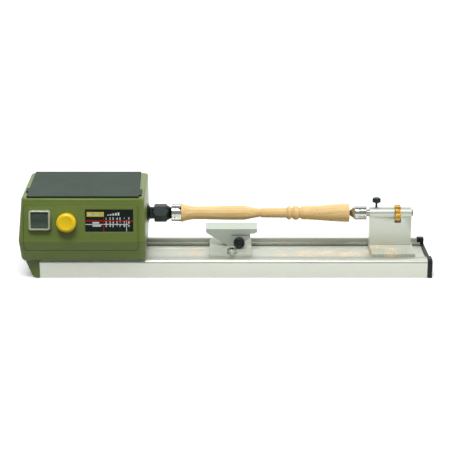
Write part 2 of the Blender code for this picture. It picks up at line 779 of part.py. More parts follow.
def make_bearing_block():
    """The casting that holds the spindle's two bearings, standing on the lower shell's floor."""
    centre = (0, SPINDLE_Y, SPINDLE_Z)
    foot = place(block(-186, -119, -14, 25.5, FLOOR_TOP + GAP, 38.0), "bearing_block", "cast_aluminium")
    barrel = [
        (-192.5, 11.3),
        (-192.5, 14.5),
        (-113.0, 14.5),
        (-113.0, 11.3),
        (-123.5, 11.3),
        (-123.5, 8.2),
        (-182.5, 8.2),
        (-182.5, 11.3),
    ]
    pedestal = block(-180, -125, SPINDLE_Y - 7, SPINDLE_Y + 7, 37.0, 59.5)
    shape(foot, [pedestal, moved(turned(barrel), *centre)], "UNION")
    foot.data.shade_smooth()
    foot.data.set_sharp_from_angle(angle=math.radians(35))
    for side, x in (("front", -123.2), ("rear", -192.2)):
        place(tube(x, x + 9.4, 6.1, 11.0), "spindle_bearing_" + side, "steel", centre, smooth=True)


def belt_outline(offset, steps=14):
    """A closed path round both pulleys, at a distance outside their rims; points are (y, z)."""
    big, small = SPINDLE_PULLEY_RADIUS + offset, MOTOR_PULLEY_RADIUS + offset
    dy, dz = MOTOR_Y - SPINDLE_Y, MOTOR_Z - SPINDLE_Z
    heading = math.atan2(dz, dy)
    spread = math.acos((big - small) / math.hypot(dy, dz))
    points = []
    for k in range(steps + 1):
        a = heading + spread + (math.tau - 2 * spread) * k / steps
        points.append((SPINDLE_Y + big * math.cos(a), SPINDLE_Z + big * math.sin(a)))
    for k in range(steps + 1):
        a = heading - spread + 2 * spread * k / steps
        points.append((MOTOR_Y + small * math.cos(a), MOTOR_Z + small * math.sin(a)))
    return points


def make_drive():
    """Motor, its bracket, shaft and pulley, the spindle's pulley and the belt round both."""
    motor = (0, MOTOR_Y, MOTOR_Z)
    can = [(-177.8, 2.9), (-177.8, 17.5), (-118.0, 17.5), (-118.0, 2.9)]
    can += [(-120.0, 2.9), (-120.0, 14.8), (-175.8, 14.8), (-175.8, 2.9)]
    place(turned(can), "motor_can", "black_steel", motor, smooth=True)
    bracket = place(block(-181.4, -178.2, 26, 60.5, FLOOR_TOP + GAP, 77), "motor_bracket", "steel")
    shape(bracket, [moved(rod(-190, -170, 6.0), y=MOTOR_Y, z=MOTOR_Z)])
    place(rod(-210.0, -116.0, 2.5), "motor_shaft", "steel", motor, smooth=True)
    place(tube(-173.0, -123.0, 2.8, 14.2), "motor_armature", "steel", motor, smooth=True)
    place(
        tube(PULLEY_LEFT, PULLEY_RIGHT, 2.8, MOTOR_PULLEY_RADIUS),
        "motor_pulley",
        "aluminium",
        motor,
        smooth=True,
    )
    place(tube(-192.0, -184.5, 2.8, 14.0), "motor_fan", "black_plastic", motor, smooth=True)
    place(
        tube(PULLEY_LEFT, PULLEY_RIGHT, 6.1, SPINDLE_PULLEY_RADIUS),
        "spindle_pulley",
        "aluminium",
        (0, SPINDLE_Y, SPINDLE_Z),
        smooth=True,
    )
    belt = place(
        prism(belt_outline(BELT_GAP + BELT_THICK), "X", PULLEY_LEFT + 2, PULLEY_RIGHT - 2),
        "drive_belt",
        "belt_rubber",
    )
    shape(belt, [prism(belt_outline(BELT_GAP), "X", PULLEY_LEFT, PULLEY_RIGHT)])


# ----------------------------------------------------------------------------
# Spindle, nut, driver and workpiece
# ----------------------------------------------------------------------------


def make_spindle():
    """The spindle with its trumpet flange and hollow threaded nose."""
    at = (0, SPINDLE_Y, SPINDLE_Z)
    profile = [
        (-210.0, 0.0),
        (-210.0, 5.8),
        (-113.0, 5.8),
        (-113.0, 8.2),
        (FLANGE_LEFT, 8.2),
        (FLANGE_LEFT, 13.0),
        (-105.8, 13.0),
        (-104.9, 11.0),
        (NECK_LEFT, 9.0),
        (-103.0, 8.2),
        (NUT_LEFT - GAP, 8.2),
        (NUT_LEFT - GAP, 7.0),
        (-86.0, 7.0),
        (-86.0, 6.1),
        (-96.0, 6.1),
        (-96.0, 0.0),
    ]
    spindle = place(turned(profile), "spindle", "black_steel", at, smooth=True)
    tommy = moved(rod(4.0, 12.0, 2.0, "Y", 12), x=-101.2)
    bmesh.ops.rotate(tommy, verts=tommy.verts, matrix=Matrix.Rotation(math.radians(140), 3, "X"))
    shape(spindle, [tommy])


def make_collet_nut():
    """The hexagonal collet nut, tapered towards the workpiece."""
    flats = 11.0
    corner = flats / math.cos(math.pi / 6)
    outline = []
    for k in range(6):
        a = math.radians(60 * k)
        outline.append((corner * math.cos(a), corner * math.sin(a)))
    at = (0, SPINDLE_Y, SPINDLE_Z)
    nut = place(prism(outline, "X", NUT_LEFT, NUT_FLATS_END), "collet_nut", "black_steel", at)
    taper = [
        (NUT_FLATS_END - 3.0, 0.0),
        (NUT_FLATS_END - 3.0, 10.6),
        (NUT_FLATS_END, 10.6),
        (NUT_RIGHT, 7.5),
        (NUT_RIGHT, 0.0),
    ]
    shape(nut, [turned(taper)], "UNION")
    chamfer = [
        (NUT_LEFT - 1.0, 0.0),
        (NUT_LEFT - 1.0, 11.0),
        (NUT_LEFT + 0.2, 11.6),
        (NUT_LEFT + 1.8, 13.2),
        (NUT_FLATS_END - 1.8, 13.2),
        (NUT_FLATS_END + 0.1, 11.2),
        (NUT_FLATS_END + 0.1, 10.7),
        (NUT_RIGHT + 1.0, 10.7),
        (NUT_RIGHT + 1.0, 0.0),
    ]
    shape(nut, [turned(chamfer)], "INTERSECT")
    bore = [
        (NUT_LEFT - 1.0, 0.0),
        (NUT_LEFT - 1.0, 7.35),
        (-84.0, 7.35),
        (-82.0, 6.2),
        (NUT_RIGHT + 1.0, 6.2),
        (NUT_RIGHT + 1.0, 0.0),
    ]
    shape(nut, [turned(bore)])


def make_driver():
    """The collet in the nut and the four-toothed drive dog that it grips."""
    at = (0, SPINDLE_Y, SPINDLE_Z)
    collet = place(tube(-94.0, NUT_RIGHT - 0.4, 4.3, 5.75), "collet", "steel", at, smooth=True)
    slits = []
    for k in range(2):
        slit = block(-88.0, -70.0, -9.0, 9.0, -0.4, 0.4)
        bmesh.ops.rotate(slit, verts=slit.verts, matrix=Matrix.Rotation(math.pi / 2 * k, 3, "X"))
        slits.append(slit)
    shape(collet, slits)
    profile = [
        (-92.0, 0.0),
        (-92.0, 4.0),
        (DOG_LEFT, 4.0),
        (DOG_LEFT, 11.4),
        (DOG_LEFT + 0.6, 11.9),
        (WOOD_LEFT - GAP, 11.9),
        (WOOD_LEFT - GAP, 10.6),
        (DOG_FACE, 7.5),
        (DOG_FACE, 3.0),
        (WOOD_LEFT - GAP, 0.0),
    ]
    dog = place(turned(profile), "drive_dog", "steel", at, smooth=True)
    notches = []
    for k in range(4):
        outline = [(DOG_FACE + 0.4, 0.0), (WOOD_LEFT, -3.6), (WOOD_LEFT, 3.6)]
        notch = prism(outline, "Z", 4.0, 14.0)
        bmesh.ops.rotate(
            notch, verts=notch.verts, matrix=Matrix.Rotation(math.pi / 4 + math.pi / 2 * k, 3, "X")
        )
        notches.append(notch)
    shape(dog, notches)


def make_workpiece():
    """The turned beech spindle held between the drive dog and the live centre."""
    end_dimple = 3.1
    profile = [
        (WOOD_LEFT, 0.0),
        (WOOD_LEFT, 11.6),
        (WOOD_LEFT + 1.0, 12.5),
        (-57.0, 11.6),
        (-52.0, 10.2),
        (-46.0, 9.2),
        (-40.0, 8.9),
        (-30.0, 9.0),
        (-12.0, 9.3),
        (5.0, 9.6),
        (22.0, 9.6),
        (32.0, 8.6),
        (44.0, 6.3),
        (45.4, 5.3),
        (46.4, 5.3),
        (47.4, 6.6),
        (64.0, 6.9),
        (82.0, 6.9),
        (83.2, 8.4),
        (85.8, 9.4),
        (88.4, 8.2),
        (89.4, 6.6),
        (91.0, 8.8),
        (94.0, 9.7),
        (98.4, 9.5),
        (100.4, 7.2),
        (101.8, 7.4),
        (102.4, 9.1),
        (125.0, 10.2),
        (150.0, 11.6),
        (WOOD_RIGHT - 0.6, 12.5),
        (WOOD_RIGHT, 12.0),
        (WOOD_RIGHT, end_dimple),
        (WOOD_RIGHT - 3.7, 0.0),
    ]
    at = (0, SPINDLE_Y, SPINDLE_Z)
    place(turned(profile), "workpiece", "beech", at, smooth=True)


# ----------------------------------------------------------------------------
# Tool rest
# ----------------------------------------------------------------------------


def make_rest_carriage():
    """The tool rest's base plate, its nut in the front T-slot and its clamping screw."""
    base = place(
        block(REST_LEFT, REST_RIGHT, -40.3, 26.4, PLATE_BOTTOM, PLATE_TOP),
        "rest_base",
        "cast_aluminium",
    )
    shape(
        base,
        [
            moved(rod(10, 40, BOLT_RADIUS + GAP, "Z"), x=REST_SCREW_X, y=FRONT_SLOT_Y),
            moved(rod(10, 40, 4.85, "Z", ROUND), x=POST_X, y=POST_Y),
        ],
    )
    nut = place(
        block(REST_SCREW_X - 9, REST_SCREW_X + 9, FRONT_SLOT_Y - 5.9, FRONT_SLOT_Y + 5.9, 10.9, 16.7),
        "rest_slot_nut",
        "steel",
    )
    shape(nut, [moved(rod(5, 20, BOLT_RADIUS + GAP, "Z"), x=REST_SCREW_X, y=FRONT_SLOT_Y)])
    screw(
        "rest_clamp_screw",
        "steel",
        (REST_SCREW_X, FRONT_SLOT_Y, PLATE_TOP),
        "Z",
        head=(GAP, 6.8, 6.4),
        shank=(-16.0, GAP, BOLT_RADIUS),
        socket=3.0,
    )


def make_tool_rest():
    """The swivelling post and the T-shaped rest that slides on it, with its clamp knob."""
    place(
        moved(rod(PLATE_BOTTOM + 0.3, 45.4, 4.5, "Z", ROUND)),
        "rest_post",
        "steel",
        (POST_X, POST_Y, 0),
        smooth=True,
    )
    front, rear = -6.0 - POST_Y, 9.8 - POST_Y
    bar = [
        (-POST_Y, BAR_TOP),
        (front, 52.5),
        (front, 47.5),
        (4.0 - POST_Y, 47.5),
        (4.0 - POST_Y, 55.0),
        (2.4 - POST_Y, 57.5),
    ]
    rest = place(
        prism(bar, "X", BAR_LEFT - POST_X, BAR_RIGHT - POST_X),
        "tool_rest",
        "cast_aluminium",
        (POST_X, POST_Y, 0),
    )
    web = [
        (-26.0, 48.0),
        (-26.6, 46.4),
        (2.0, REST_BOTTOM),
        (9.5, REST_BOTTOM),
        (20.0, 30.6),
        (32.6, 40.0),
        (32.6, 45.6),
        (39.1, 46.2),
        (40.3, 48.0),
    ]
    web_here = [(x - POST_X, z) for x, z in web]
    shape(rest, [prism(web_here, "Y", front, rear)], "UNION")
    shape(
        rest,
        [
            block(6.2 - POST_X, 60, front - 5, rear + 5, SLIT_Z - 0.6, SLIT_Z + 0.6),
            rod(20, 47.2, 4.85, "Z", ROUND),
            moved(rod(-20, 0, 2.5, "Y"), z=CLAMP_KNOB_Z),
            block(-40, 40, 4.0 - POST_Y, rear + 5, 46.9, 60),
        ],
    )
    knob = [
        (-17.5, 0.0),
        (-17.5, 4.6),
        (-18.4, 5.6),
        (-18.4, 6.6),
        (-17.2, 7.8),
        (-12.6, 7.8),
        (-11.6, 7.0),
        (-11.6, 4.2),
        (-4.4, 4.2),
        (-4.4, 2.2),
        (-1.0, 2.2),
        (-1.0, 0.0),
    ]
    knob_at = (POST_X, POST_Y - 3.9, CLAMP_KNOB_Z)
    place(turned(knob, "Y"), "rest_clamp_knob", "black_plastic", knob_at, smooth=True)


# ----------------------------------------------------------------------------
# Tailstock
# ----------------------------------------------------------------------------


def make_tailstock():
    """The tailstock's base, its column with the quill's tube, and what clamps it to the bed."""
    base = place(
        block(TAIL_LEFT, TAIL_RIGHT, -38.0, 26.4, PLATE_BOTTOM, PLATE_TOP),
        "tailstock_base",
        "cast_aluminium",
    )
    cuts = [moved(rod(10, 40, 3.3, "Z"), x=TAIL_CLAMP_X, y=REAR_SLOT_Y)]
    for _, x in COLUMN_SCREWS:
        cuts.append(moved(rod(10, 40, 2.5, "Z"), x=x, y=SPINDLE_Y))
        cuts.append(moved(rod(10, PLATE_BOTTOM + 4.4, 4.5, "Z"), x=x, y=SPINDLE_Y))
    shape(base, cuts)

    drop = COLUMN_SHOULDER - SPINDLE_Z
    start = math.asin(drop / TUBE_RADIUS)
    outline = [(COLUMN_HALF, PLATE_TOP + GAP - SPINDLE_Z), (COLUMN_HALF, drop)]
    steps = 14
    for k in range(steps + 1):
        a = start + (math.pi - 2 * start) * k / steps
        outline.append((TUBE_RADIUS * math.cos(a), TUBE_RADIUS * math.sin(a)))
    outline += [(-COLUMN_HALF, drop), (-COLUMN_HALF, PLATE_TOP + GAP - SPINDLE_Z)]
    column = place(
        prism(outline, "X", TAIL_LEFT, COLUMN_RIGHT),
        "tailstock_column",
        "cast_aluminium",
        (0, SPINDLE_Y, SPINDLE_Z),
        smooth=True,
    )
    slot_bottom = -QUILL_NUT_RADIUS - 0.6
    cuts = [
        rod(TAIL_LEFT - 5, COLUMN_RIGHT + 5, 5.3, sides=ROUND),
        block(QUILL_NUT_LEFT - 0.4, QUILL_NUT_RIGHT + 0.4, -20, 20, slot_bottom, 20),
        moved(rod(0.0, 20.0, 1.9, "Z"), x=LOCK_SCREW_X),
    ]
    for _, x in COLUMN_SCREWS:
        cuts.append(moved(rod(-50.0, 37.5 - SPINDLE_Z, 2.5, "Z"), x=x))
    shape(column, cuts)
    for side, x in COLUMN_SCREWS:
        screw(
            "column_screw_" + side,
            "steel",
            (x, SPINDLE_Y, PLATE_BOTTOM),
            "Z",
            head=(0.2, 4.0, 4.2),
            shank=(4.0, 16.0, 2.1),
        )

    nut = place(
        block(TAIL_CLAMP_X - 10, TAIL_CLAMP_X + 10, REAR_SLOT_Y - 6.6, REAR_SLOT_Y + 6.6, 9.9, 16.7),
        "tailstock_slot_nut",
        "steel",
    )
    shape(nut, [moved(rod(5, 20, 3.2, "Z"), x=TAIL_CLAMP_X, y=REAR_SLOT_Y)])
    screw(
        "tailstock_clamp_screw",
        "black_steel",
        (TAIL_CLAMP_X, REAR_SLOT_Y, PLATE_TOP),
        "Z",
        head=(GAP, 6.3, 4.2),
        shank=(-17.0, GAP, 2.9),
        socket=2.3,
    )


def make_quill():
    """The quill, its brass adjusting nut, its locking screw and the live centre on its nose."""
    at = (0, SPINDLE_Y, SPINDLE_Z)
    quill = [
        (180.0, 0.0),
        (180.0, 3.4),
        (191.8, 3.4),
        (191.8, 4.9),
        (254.6, 4.9),
        (255.2, 4.3),
        (255.2, 0.0),
    ]
    place(turned(quill), "quill", "steel", at, smooth=True)
    nut = [
        (QUILL_NUT_LEFT, 5.25),
        (QUILL_NUT_LEFT, QUILL_NUT_RADIUS - 0.7),
        (QUILL_NUT_LEFT + 0.7, QUILL_NUT_RADIUS),
        (QUILL_NUT_RIGHT - 0.7, QUILL_NUT_RADIUS),
        (QUILL_NUT_RIGHT, QUILL_NUT_RADIUS - 0.7),
        (QUILL_NUT_RIGHT, 5.25),
    ]
    place(turned(nut), "quill_nut", "brass", at, smooth=True)
    centre = [
        (164.66, 0.0),
        (175.8, 9.5),
        (191.0, 9.5),
        (191.4, 9.1),
        (191.4, 3.8),
        (179.5, 3.8),
        (179.5, 0.0),
    ]
    place(turned(centre), "live_centre", "steel", at, smooth=True)
    lock = [
        (5.4, 0.0),
        (5.4, 1.5),
        (15.3, 1.5),
        (15.3, 5.0),
        (15.9, 5.75),
        (20.6, 5.75),
        (21.4, 4.8),
        (21.4, 0.0),
    ]
    lock_at = (LOCK_SCREW_X, SPINDLE_Y, SPINDLE_Z)
    place(turned(lock, "Z", SMALL_ROUND), "quill_lock_screw", "black_steel", lock_at, smooth=True)


def main():
    """Build the whole lathe."""
    clear_scene()
    make_bed()
    make_end_cap()
    make_lower_shell()
    make_upper_shell()
    make_housing_screws()
    make_top_mat()
    make_panel()
    make_switch()
    make_speed_control()
    make_cord_gland()
    make_mounting()
    make_bearing_block()
    make_drive()
    make_spindle()
    make_collet_nut()
    make_driver()
    make_workpiece()
    make_rest_carriage()
    make_tool_rest()
    make_tailstock()
    make_quill()


main()
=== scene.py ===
"""Looks of a bench wood lathe: finishes, detailed pieces, studio light and camera, on a fixed CAD frame.

Everything is in metres in the CAD model's frame. Sizes in the classes are in millimetres, and a mesh is
scaled once, when it becomes an object. +X runs from the headstock to the tailstock, and +Y away from the
operator.
"""

import json
import logging
import math
from dataclasses import dataclass
from enum import Enum
from typing import Callable, Optional, Sequence, Union

import bmesh
import bpy
from mathutils import Matrix, Vector

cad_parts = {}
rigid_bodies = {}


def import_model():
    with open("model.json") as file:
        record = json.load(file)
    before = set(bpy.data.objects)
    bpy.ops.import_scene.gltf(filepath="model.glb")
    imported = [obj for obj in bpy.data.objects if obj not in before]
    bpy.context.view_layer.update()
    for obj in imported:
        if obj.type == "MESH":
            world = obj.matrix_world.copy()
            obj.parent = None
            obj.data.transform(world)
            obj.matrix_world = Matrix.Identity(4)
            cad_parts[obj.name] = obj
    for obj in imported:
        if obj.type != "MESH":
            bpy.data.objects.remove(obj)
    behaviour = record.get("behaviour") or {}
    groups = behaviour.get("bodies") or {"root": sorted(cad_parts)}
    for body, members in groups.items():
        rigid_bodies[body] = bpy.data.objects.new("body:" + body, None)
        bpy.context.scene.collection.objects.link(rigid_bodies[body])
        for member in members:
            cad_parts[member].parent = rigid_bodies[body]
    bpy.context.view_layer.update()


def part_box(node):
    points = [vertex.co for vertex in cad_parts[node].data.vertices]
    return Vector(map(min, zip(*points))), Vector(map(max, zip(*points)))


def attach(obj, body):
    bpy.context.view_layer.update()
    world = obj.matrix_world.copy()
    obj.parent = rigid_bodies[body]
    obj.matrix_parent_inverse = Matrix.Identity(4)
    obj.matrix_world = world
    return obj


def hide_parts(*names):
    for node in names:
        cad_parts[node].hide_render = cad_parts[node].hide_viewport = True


log = logging.getLogger("lathe")

MM = 0.001
SHARP = math.radians(32)
AXIS_Y, AXIS_Z = 8.0, 71.5
MAT_TOP = 115.0

Colour = tuple[float, float, float]
Point = tuple[float, float]


def tint(red: int, green: int, blue: int) -> Colour:
    """Turn a screen colour of 0 to 255 per channel into the linear colour that a shader takes."""
    linear = []
    for channel in (red, green, blue):
        c = channel / 255
        linear.append(c / 12.92 if c <= 0.04045 else ((c + 0.055) / 1.055) ** 2.4)
    return (linear[0], linear[1], linear[2])


# ----------------------------------------------------------------------------
# Shader graphs
# ----------------------------------------------------------------------------


class Wire:
    """One output socket of a shader graph; sums and products of wires add Math nodes."""

    def __init__(self, sheet: "Sheet", socket: bpy.types.NodeSocket) -> None:
        """Keep the graph and the socket."""
        self.sheet = sheet
        self.socket = socket

    def _join(self, operation: str, first: "Feed", second: "Feed") -> "Wire":
        """Add one Math node between two feeds."""
        return self.sheet.node("ShaderNodeMath", {"operation": operation}, {0: first, 1: second})

    def __add__(self, other: "Feed") -> "Wire":
        """Sum of this wire and another feed."""
        return self._join("ADD", self, other)

    __radd__ = __add__

    def __sub__(self, other: "Feed") -> "Wire":
        """This wire less another feed."""
        return self._join("SUBTRACT", self, other)

    def __rsub__(self, other: "Feed") -> "Wire":
        """Another feed less this wire."""
        return self._join("SUBTRACT", other, self)

    def __mul__(self, other: "Feed") -> "Wire":
        """Product of this wire and another feed."""
        return self._join("MULTIPLY", self, other)

    __rmul__ = __mul__

    def sine(self) -> "Wire":
        """Sine of this wire, in radians."""
        return self.sheet.node("ShaderNodeMath", {"operation": "SINE"}, {0: self})

    def rise(self, low: float, high: float) -> "Wire":
        """Smooth step from 0 to 1.

        Args:
            low: Where the step is still 0.
            high: Where it has reached 1. It may lie below low, for a falling step.

        Returns:
            The step's wire.
        """
        settings = {"interpolation_type": "SMOOTHSTEP", "clamp": True}
        if high < low:
            step = self.sheet.node("ShaderNodeMapRange", settings, {0: self, 1: high, 2: low})
            return 1.0 - step
        return self.sheet.node("ShaderNodeMapRange", settings, {0: self, 1: low, 2: high})


Feed = Union[Wire, float, Sequence[float]]


class Sheet:
    """A material whose Principled shader is being wired up."""

    def __init__(self, name: str) -> None:
        """Start a material with a bare Principled shader."""
        self.material = bpy.data.materials.new(name)
        self.material.use_nodes = True
        self.tree = self.material.node_tree
        self.shader = self.tree.nodes["Principled BSDF"]

    def node(
        self, kind: str, settings: dict[str, object], feeds: dict[Union[int, str], Feed], out: int = 0
    ) -> Wire:
        """Add one node.

        Args:
            kind: Blender's name for the node's type.
            settings: Its properties, set first; "stops" holds a ramp's (place, colour) pairs.
            feeds: Values or wires for its sockets, by index or name.
            out: Which output to return.

        Returns:
            A wire from that output.
        """
        node = self.tree.nodes.new(kind)
        for key, value in settings.items():
            if key == "stops":
                self._fill_ramp(node.color_ramp, value)
            else:
                setattr(node, key, value)
        for key, feed in feeds.items():
            self._feed(node.inputs[key], feed)
        return Wire(self, node.outputs[out])

    @staticmethod
    def _fill_ramp(ramp: bpy.types.ColorRamp, stops: Sequence[tuple[float, Colour]]) -> None:
        """Give a colour ramp its stops."""
        while len(ramp.elements) < len(stops):
            ramp.elements.new(0.5)
        for element, (place, colour) in zip(ramp.elements, stops):
            element.position = place
            element.color = (*colour, 1.0)

    def _feed(self, socket: bpy.types.NodeSocket, feed: Feed) -> None:
        """Link a wire to a socket, or set its value."""
        if isinstance(feed, Wire):
            self.tree.links.new(feed.socket, socket)
        elif isinstance(feed, (int, float)):
            socket.default_value = feed
        elif len(feed) == 3 and socket.type == "RGBA":
            socket.default_value = (*feed, 1.0)
        else:
            socket.default_value = feed

    def place(self) -> Wire:
        """Position on the piece in millimetres, as a vector."""
        raw = self.node("ShaderNodeTexCoord", {}, {}, out=3)
        return self.node("ShaderNodeVectorMath", {"operation": "SCALE"}, {0: raw, 3: 1 / MM})

    def stretch(self, place: Wire, factors: Sequence[float]) -> Wire:
        """Scale a position differently along each axis."""
        return self.node("ShaderNodeVectorMath", {"operation": "MULTIPLY"}, {0: place, 1: factors})

    def along(self, place: Wire, axis: str) -> Wire:
        """One coordinate of a position, by axis letter."""
        return self.node("ShaderNodeSeparateXYZ", {}, {0: place}, out="XYZ".index(axis))

    def noise(self, place: Wire, scale: float, detail: float = 3.0, rough: float = 0.5) -> Wire:
        """Grey noise of about 0.5.

        Args:
            place: Where to sample it.
            scale: Lumps per unit of the position.
            detail: Octaves.
            rough: Weight of the finer octaves.

        Returns:
            The noise's wire.
        """
        feeds = {"Vector": place, "Scale": scale, "Detail": detail, "Roughness": rough}
        return self.node("ShaderNodeTexNoise", {}, feeds)

    def cells(self, place: Wire, scale: float, out: int) -> Wire:
        """Scattered cells: output 0 is the distance from a cell's middle, output 1 its own random shade."""
        return self.node("ShaderNodeTexVoronoi", {}, {"Vector": place, "Scale": scale}, out=out)

    def blend(self, share: Feed, first: Feed, second: Feed) -> Wire:
        """Mix two colours; share 0 gives the first."""
        return self.node("ShaderNodeMix", {"data_type": "RGBA"}, {0: share, 6: first, 7: second}, out=2)

    def bump(self, height: Wire, depth: float, strength: float = 1.0) -> Wire:
        """Turn a height of 0 to 1 into a normal.

        Args:
            height: The relief.
            depth: What a height of 1 means, in millimetres.
            strength: How much of the relief shows.

        Returns:
            The normal's wire.
        """
        feeds = {"Strength": strength, "Distance": depth * MM, "Height": height}
        return self.node("ShaderNodeBump", {}, feeds)

    def coat(self, **feeds: Feed) -> bpy.types.Material:
        """Feed the shader's sockets, underscores standing for spaces, and return the material."""
        for name, feed in feeds.items():
            self._feed(self.shader.inputs[name.replace("_", " ")], feed)
        return self.material


# ----------------------------------------------------------------------------
# Finishes
# ----------------------------------------------------------------------------


@dataclass(frozen=True)
class MouldedPlastic:
    """Matt moulded plastic with a fine grain and a little unevenness."""

    name: str
    colour: Colour
    roughness: float = 0.5
    grain: float = 0.03
    spread: float = 0.12
    shine: float = 0.5

    def dress(self) -> bpy.types.Material:
        """Build the material."""
        sheet = Sheet(self.name)
        place = sheet.place()
        cloudy = sheet.noise(place, 0.02, 4.0)
        fine = sheet.noise(place, 2.2, 2.0)
        darker = [c * (1 - self.spread) for c in self.colour]
        lighter = [min(1.0, c * (1 + self.spread)) for c in self.colour]
        return sheet.coat(
            Base_Color=sheet.blend(cloudy * 0.7 + fine * 0.3, darker, lighter),
            Roughness=fine * 0.16 + (self.roughness - 0.08),
            Specular_IOR_Level=self.shine,
            Normal=sheet.bump(fine, self.grain),
        )


@dataclass(frozen=True)
class RibbedRubber:
    """Rubber mat with fine ribs that run diagonally; painted shade makes its sides near black and its rib
    valleys darker, painted highlight makes its rib crests paler, with random mottle on top.
    """

    name: str
    colour: Colour
    # side is the near-black colour painted on the mat's sides as shade; the rubber itself is the same all
    # round.
    side: Colour = tint(22, 27, 24)
    pitch: float = 3.1
    slant: float = 0.8

    def dress(self) -> bpy.types.Material:
        """Build the material."""
        sheet = Sheet(self.name)
        place = sheet.place()
        x, y, z = (sheet.along(place, axis) for axis in "XYZ")
        wave = ((x + y * self.slant) * (math.tau / self.pitch)).sine() * 0.5 + 0.5
        worn = sheet.noise(place, 0.03, 5.0, 0.6)
        on_top = z.rise(MAT_TOP - 0.4, MAT_TOP)
        # Painted shade and highlight: the top's colour follows the rib relief, darker in the valleys and
        # paler on the crests, mixed half and half with random mottle.
        dark = [c * 0.5 for c in self.colour]
        light = [c * 1.4 for c in self.colour]
        top = sheet.blend(wave * 0.5 + worn * 0.5, dark, light)
        # The top face gets the rib colours and the sides get the painted shade colour.
        return sheet.coat(
            Base_Color=sheet.blend(on_top, self.side, top),
            Roughness=0.86 - wave * 0.14,
            Specular_IOR_Level=0.2,
            Normal=sheet.bump(wave * on_top, 0.22, 0.7),
        )


class Lay(Enum):
    """Direction of the fine lines that a tool or a die leaves."""

    ALONG_BED = (0.012, 2.6, 2.6)
    BLASTED = (1.9, 1.9, 1.9)
    AROUND_SPINDLE = (5.0, 0.05, 0.05)


@dataclass(frozen=True)
class WoodDust:
    """Loose dust on level faces of the bed's channel; a pair says where a mask starts and is full."""

    above: Point = (18.8, 19.2)
    below: Point = (28.6, 28.3)
    behind: Point = (-40.9, -40.3)
    before: Point = (12.0, -8.0)
    rest_heap: tuple[Point, Point] = ((-80.0, -58.0), (-24.0, -44.0))
    tail_heap: tuple[Point, Point] = ((40.0, 92.0), (248.0, 225.0))
    drift: Point = (0.36, 0.74)
    grain: Point = (0.80, 0.62)
    grains_per_mm: float = 0.7
    stray: float = 0.015
    dark: Colour = tint(214, 174, 116)
    pale: Colour = tint(255, 246, 220)

    def cover(self, sheet: Sheet, place: Wire) -> Wire:
        """Share of the surface that the dust covers, grain by grain."""
        x, y, z = (sheet.along(place, axis) for axis in "XYZ")
        level = z.rise(*self.above) * z.rise(*self.below)
        inside = y.rise(*self.behind) * y.rise(*self.before)
        heaps = (self.rest_heap, self.tail_heap)
        near_rest, near_tail = (x.rise(*start) * x.rise(*end) for start, end in heaps)
        drifts = sheet.noise(place, 0.06, 3.0).rise(*self.drift)
        density = (near_rest + near_tail) * (drifts * 0.85 + 0.1) + self.stray
        share = sheet.along(sheet.cells(place, self.grains_per_mm, 1), "X")
        middle = sheet.cells(place, self.grains_per_mm, 0)
        return (density - share).rise(0.0, 0.02) * middle.rise(*self.grain) * level * inside

    def shades(self, sheet: Sheet, place: Wire) -> Wire:
        """Colours of the grains."""
        shade = sheet.noise(place, 1.1, 3.0, 0.7)
        return sheet.blend(shade.rise(0.35, 0.65), self.dark, self.pale)


DUST = WoodDust()


@dataclass(frozen=True)
class Metal:
    """Bare or blackened metal with machining lines or a blasted skin, and painted shade in its bore if it has
    one.
    """

    name: str
    colour: Colour
    roughness: float
    lay: Lay
    relief: float = 0.012
    metallic: float = 1.0
    dust: bool = False
    bore: float = 0.0
    bore_shade: Colour = tint(14, 18, 17)

    def dress(self) -> bpy.types.Material:
        """Build the material."""
        sheet = Sheet(self.name)
        place = sheet.place()
        lines = sheet.noise(sheet.stretch(place, self.lay.value), 1.0, 4.0, 0.62)
        clouds = sheet.noise(place, 0.035, 4.0)
        darker = [c * 0.82 for c in self.colour]
        colour = sheet.blend(lines * 0.5 + clouds * 0.5, darker, self.colour)
        rough = lines * 0.18 + clouds * 0.1 + (self.roughness - 0.14)
        metallic: Feed = self.metallic
        # Painted shade: inside the bore's radius the colour turns near black and the surface rougher,
        # standing in for the shade in the hollow.
        if self.bore > 0:
            y = sheet.along(place, "Y") - AXIS_Y
            z = sheet.along(place, "Z") - AXIS_Z
            shade = (y * y + z * z).rise(self.bore**2 + 4.0, self.bore**2 - 4.0)
            colour = sheet.blend(shade, colour, self.bore_shade)
            rough = rough + shade * 0.4
        if self.dust:
            cover = DUST.cover(sheet, place)
            colour = sheet.blend(cover, colour, DUST.shades(sheet, place))
            rough = rough * (1.0 - cover) + cover * 0.9
            metallic = self.metallic * (1.0 - cover)
        return sheet.coat(
            Base_Color=colour,
            Roughness=rough,
            Metallic=metallic,
            Normal=sheet.bump(lines, self.relief),
        )


@dataclass(frozen=True)
class BareWood:
    """Turned beech: long grain, short dark flecks and fine tool rings."""

    name: str
    pale: Colour
    middle: Colour
    dark: Colour

    def dress(self) -> bpy.types.Material:
        """Build the material."""
        sheet = Sheet(self.name)
        place = sheet.place()
        streaks = sheet.noise(sheet.stretch(place, (0.012, 0.42, 0.42)), 1.0, 5.0, 0.6)
        fibres = sheet.noise(sheet.stretch(place, (0.05, 2.4, 2.4)), 1.0, 3.0, 0.6)
        flecks = sheet.noise(sheet.stretch(place, (0.32, 3.2, 1.5)), 1.0, 2.0).rise(0.60, 0.72)
        figure = streaks.rise(0.3, 0.7)
        base = sheet.blend(figure, self.middle, self.pale)
        base = sheet.blend(fibres.rise(0.5, 0.8) * 0.45, base, self.dark)
        base = sheet.blend(flecks * 0.5, base, self.dark)
        x = sheet.along(place, "X")
        rings = (x * 5.2).sine() * 0.5 + 0.5
        relief = rings * 0.35 + fibres * 0.65
        return sheet.coat(
            Base_Color=base,
            Roughness=0.62 - figure * 0.12,
            Normal=sheet.bump(relief, 0.05, 0.8),
        )


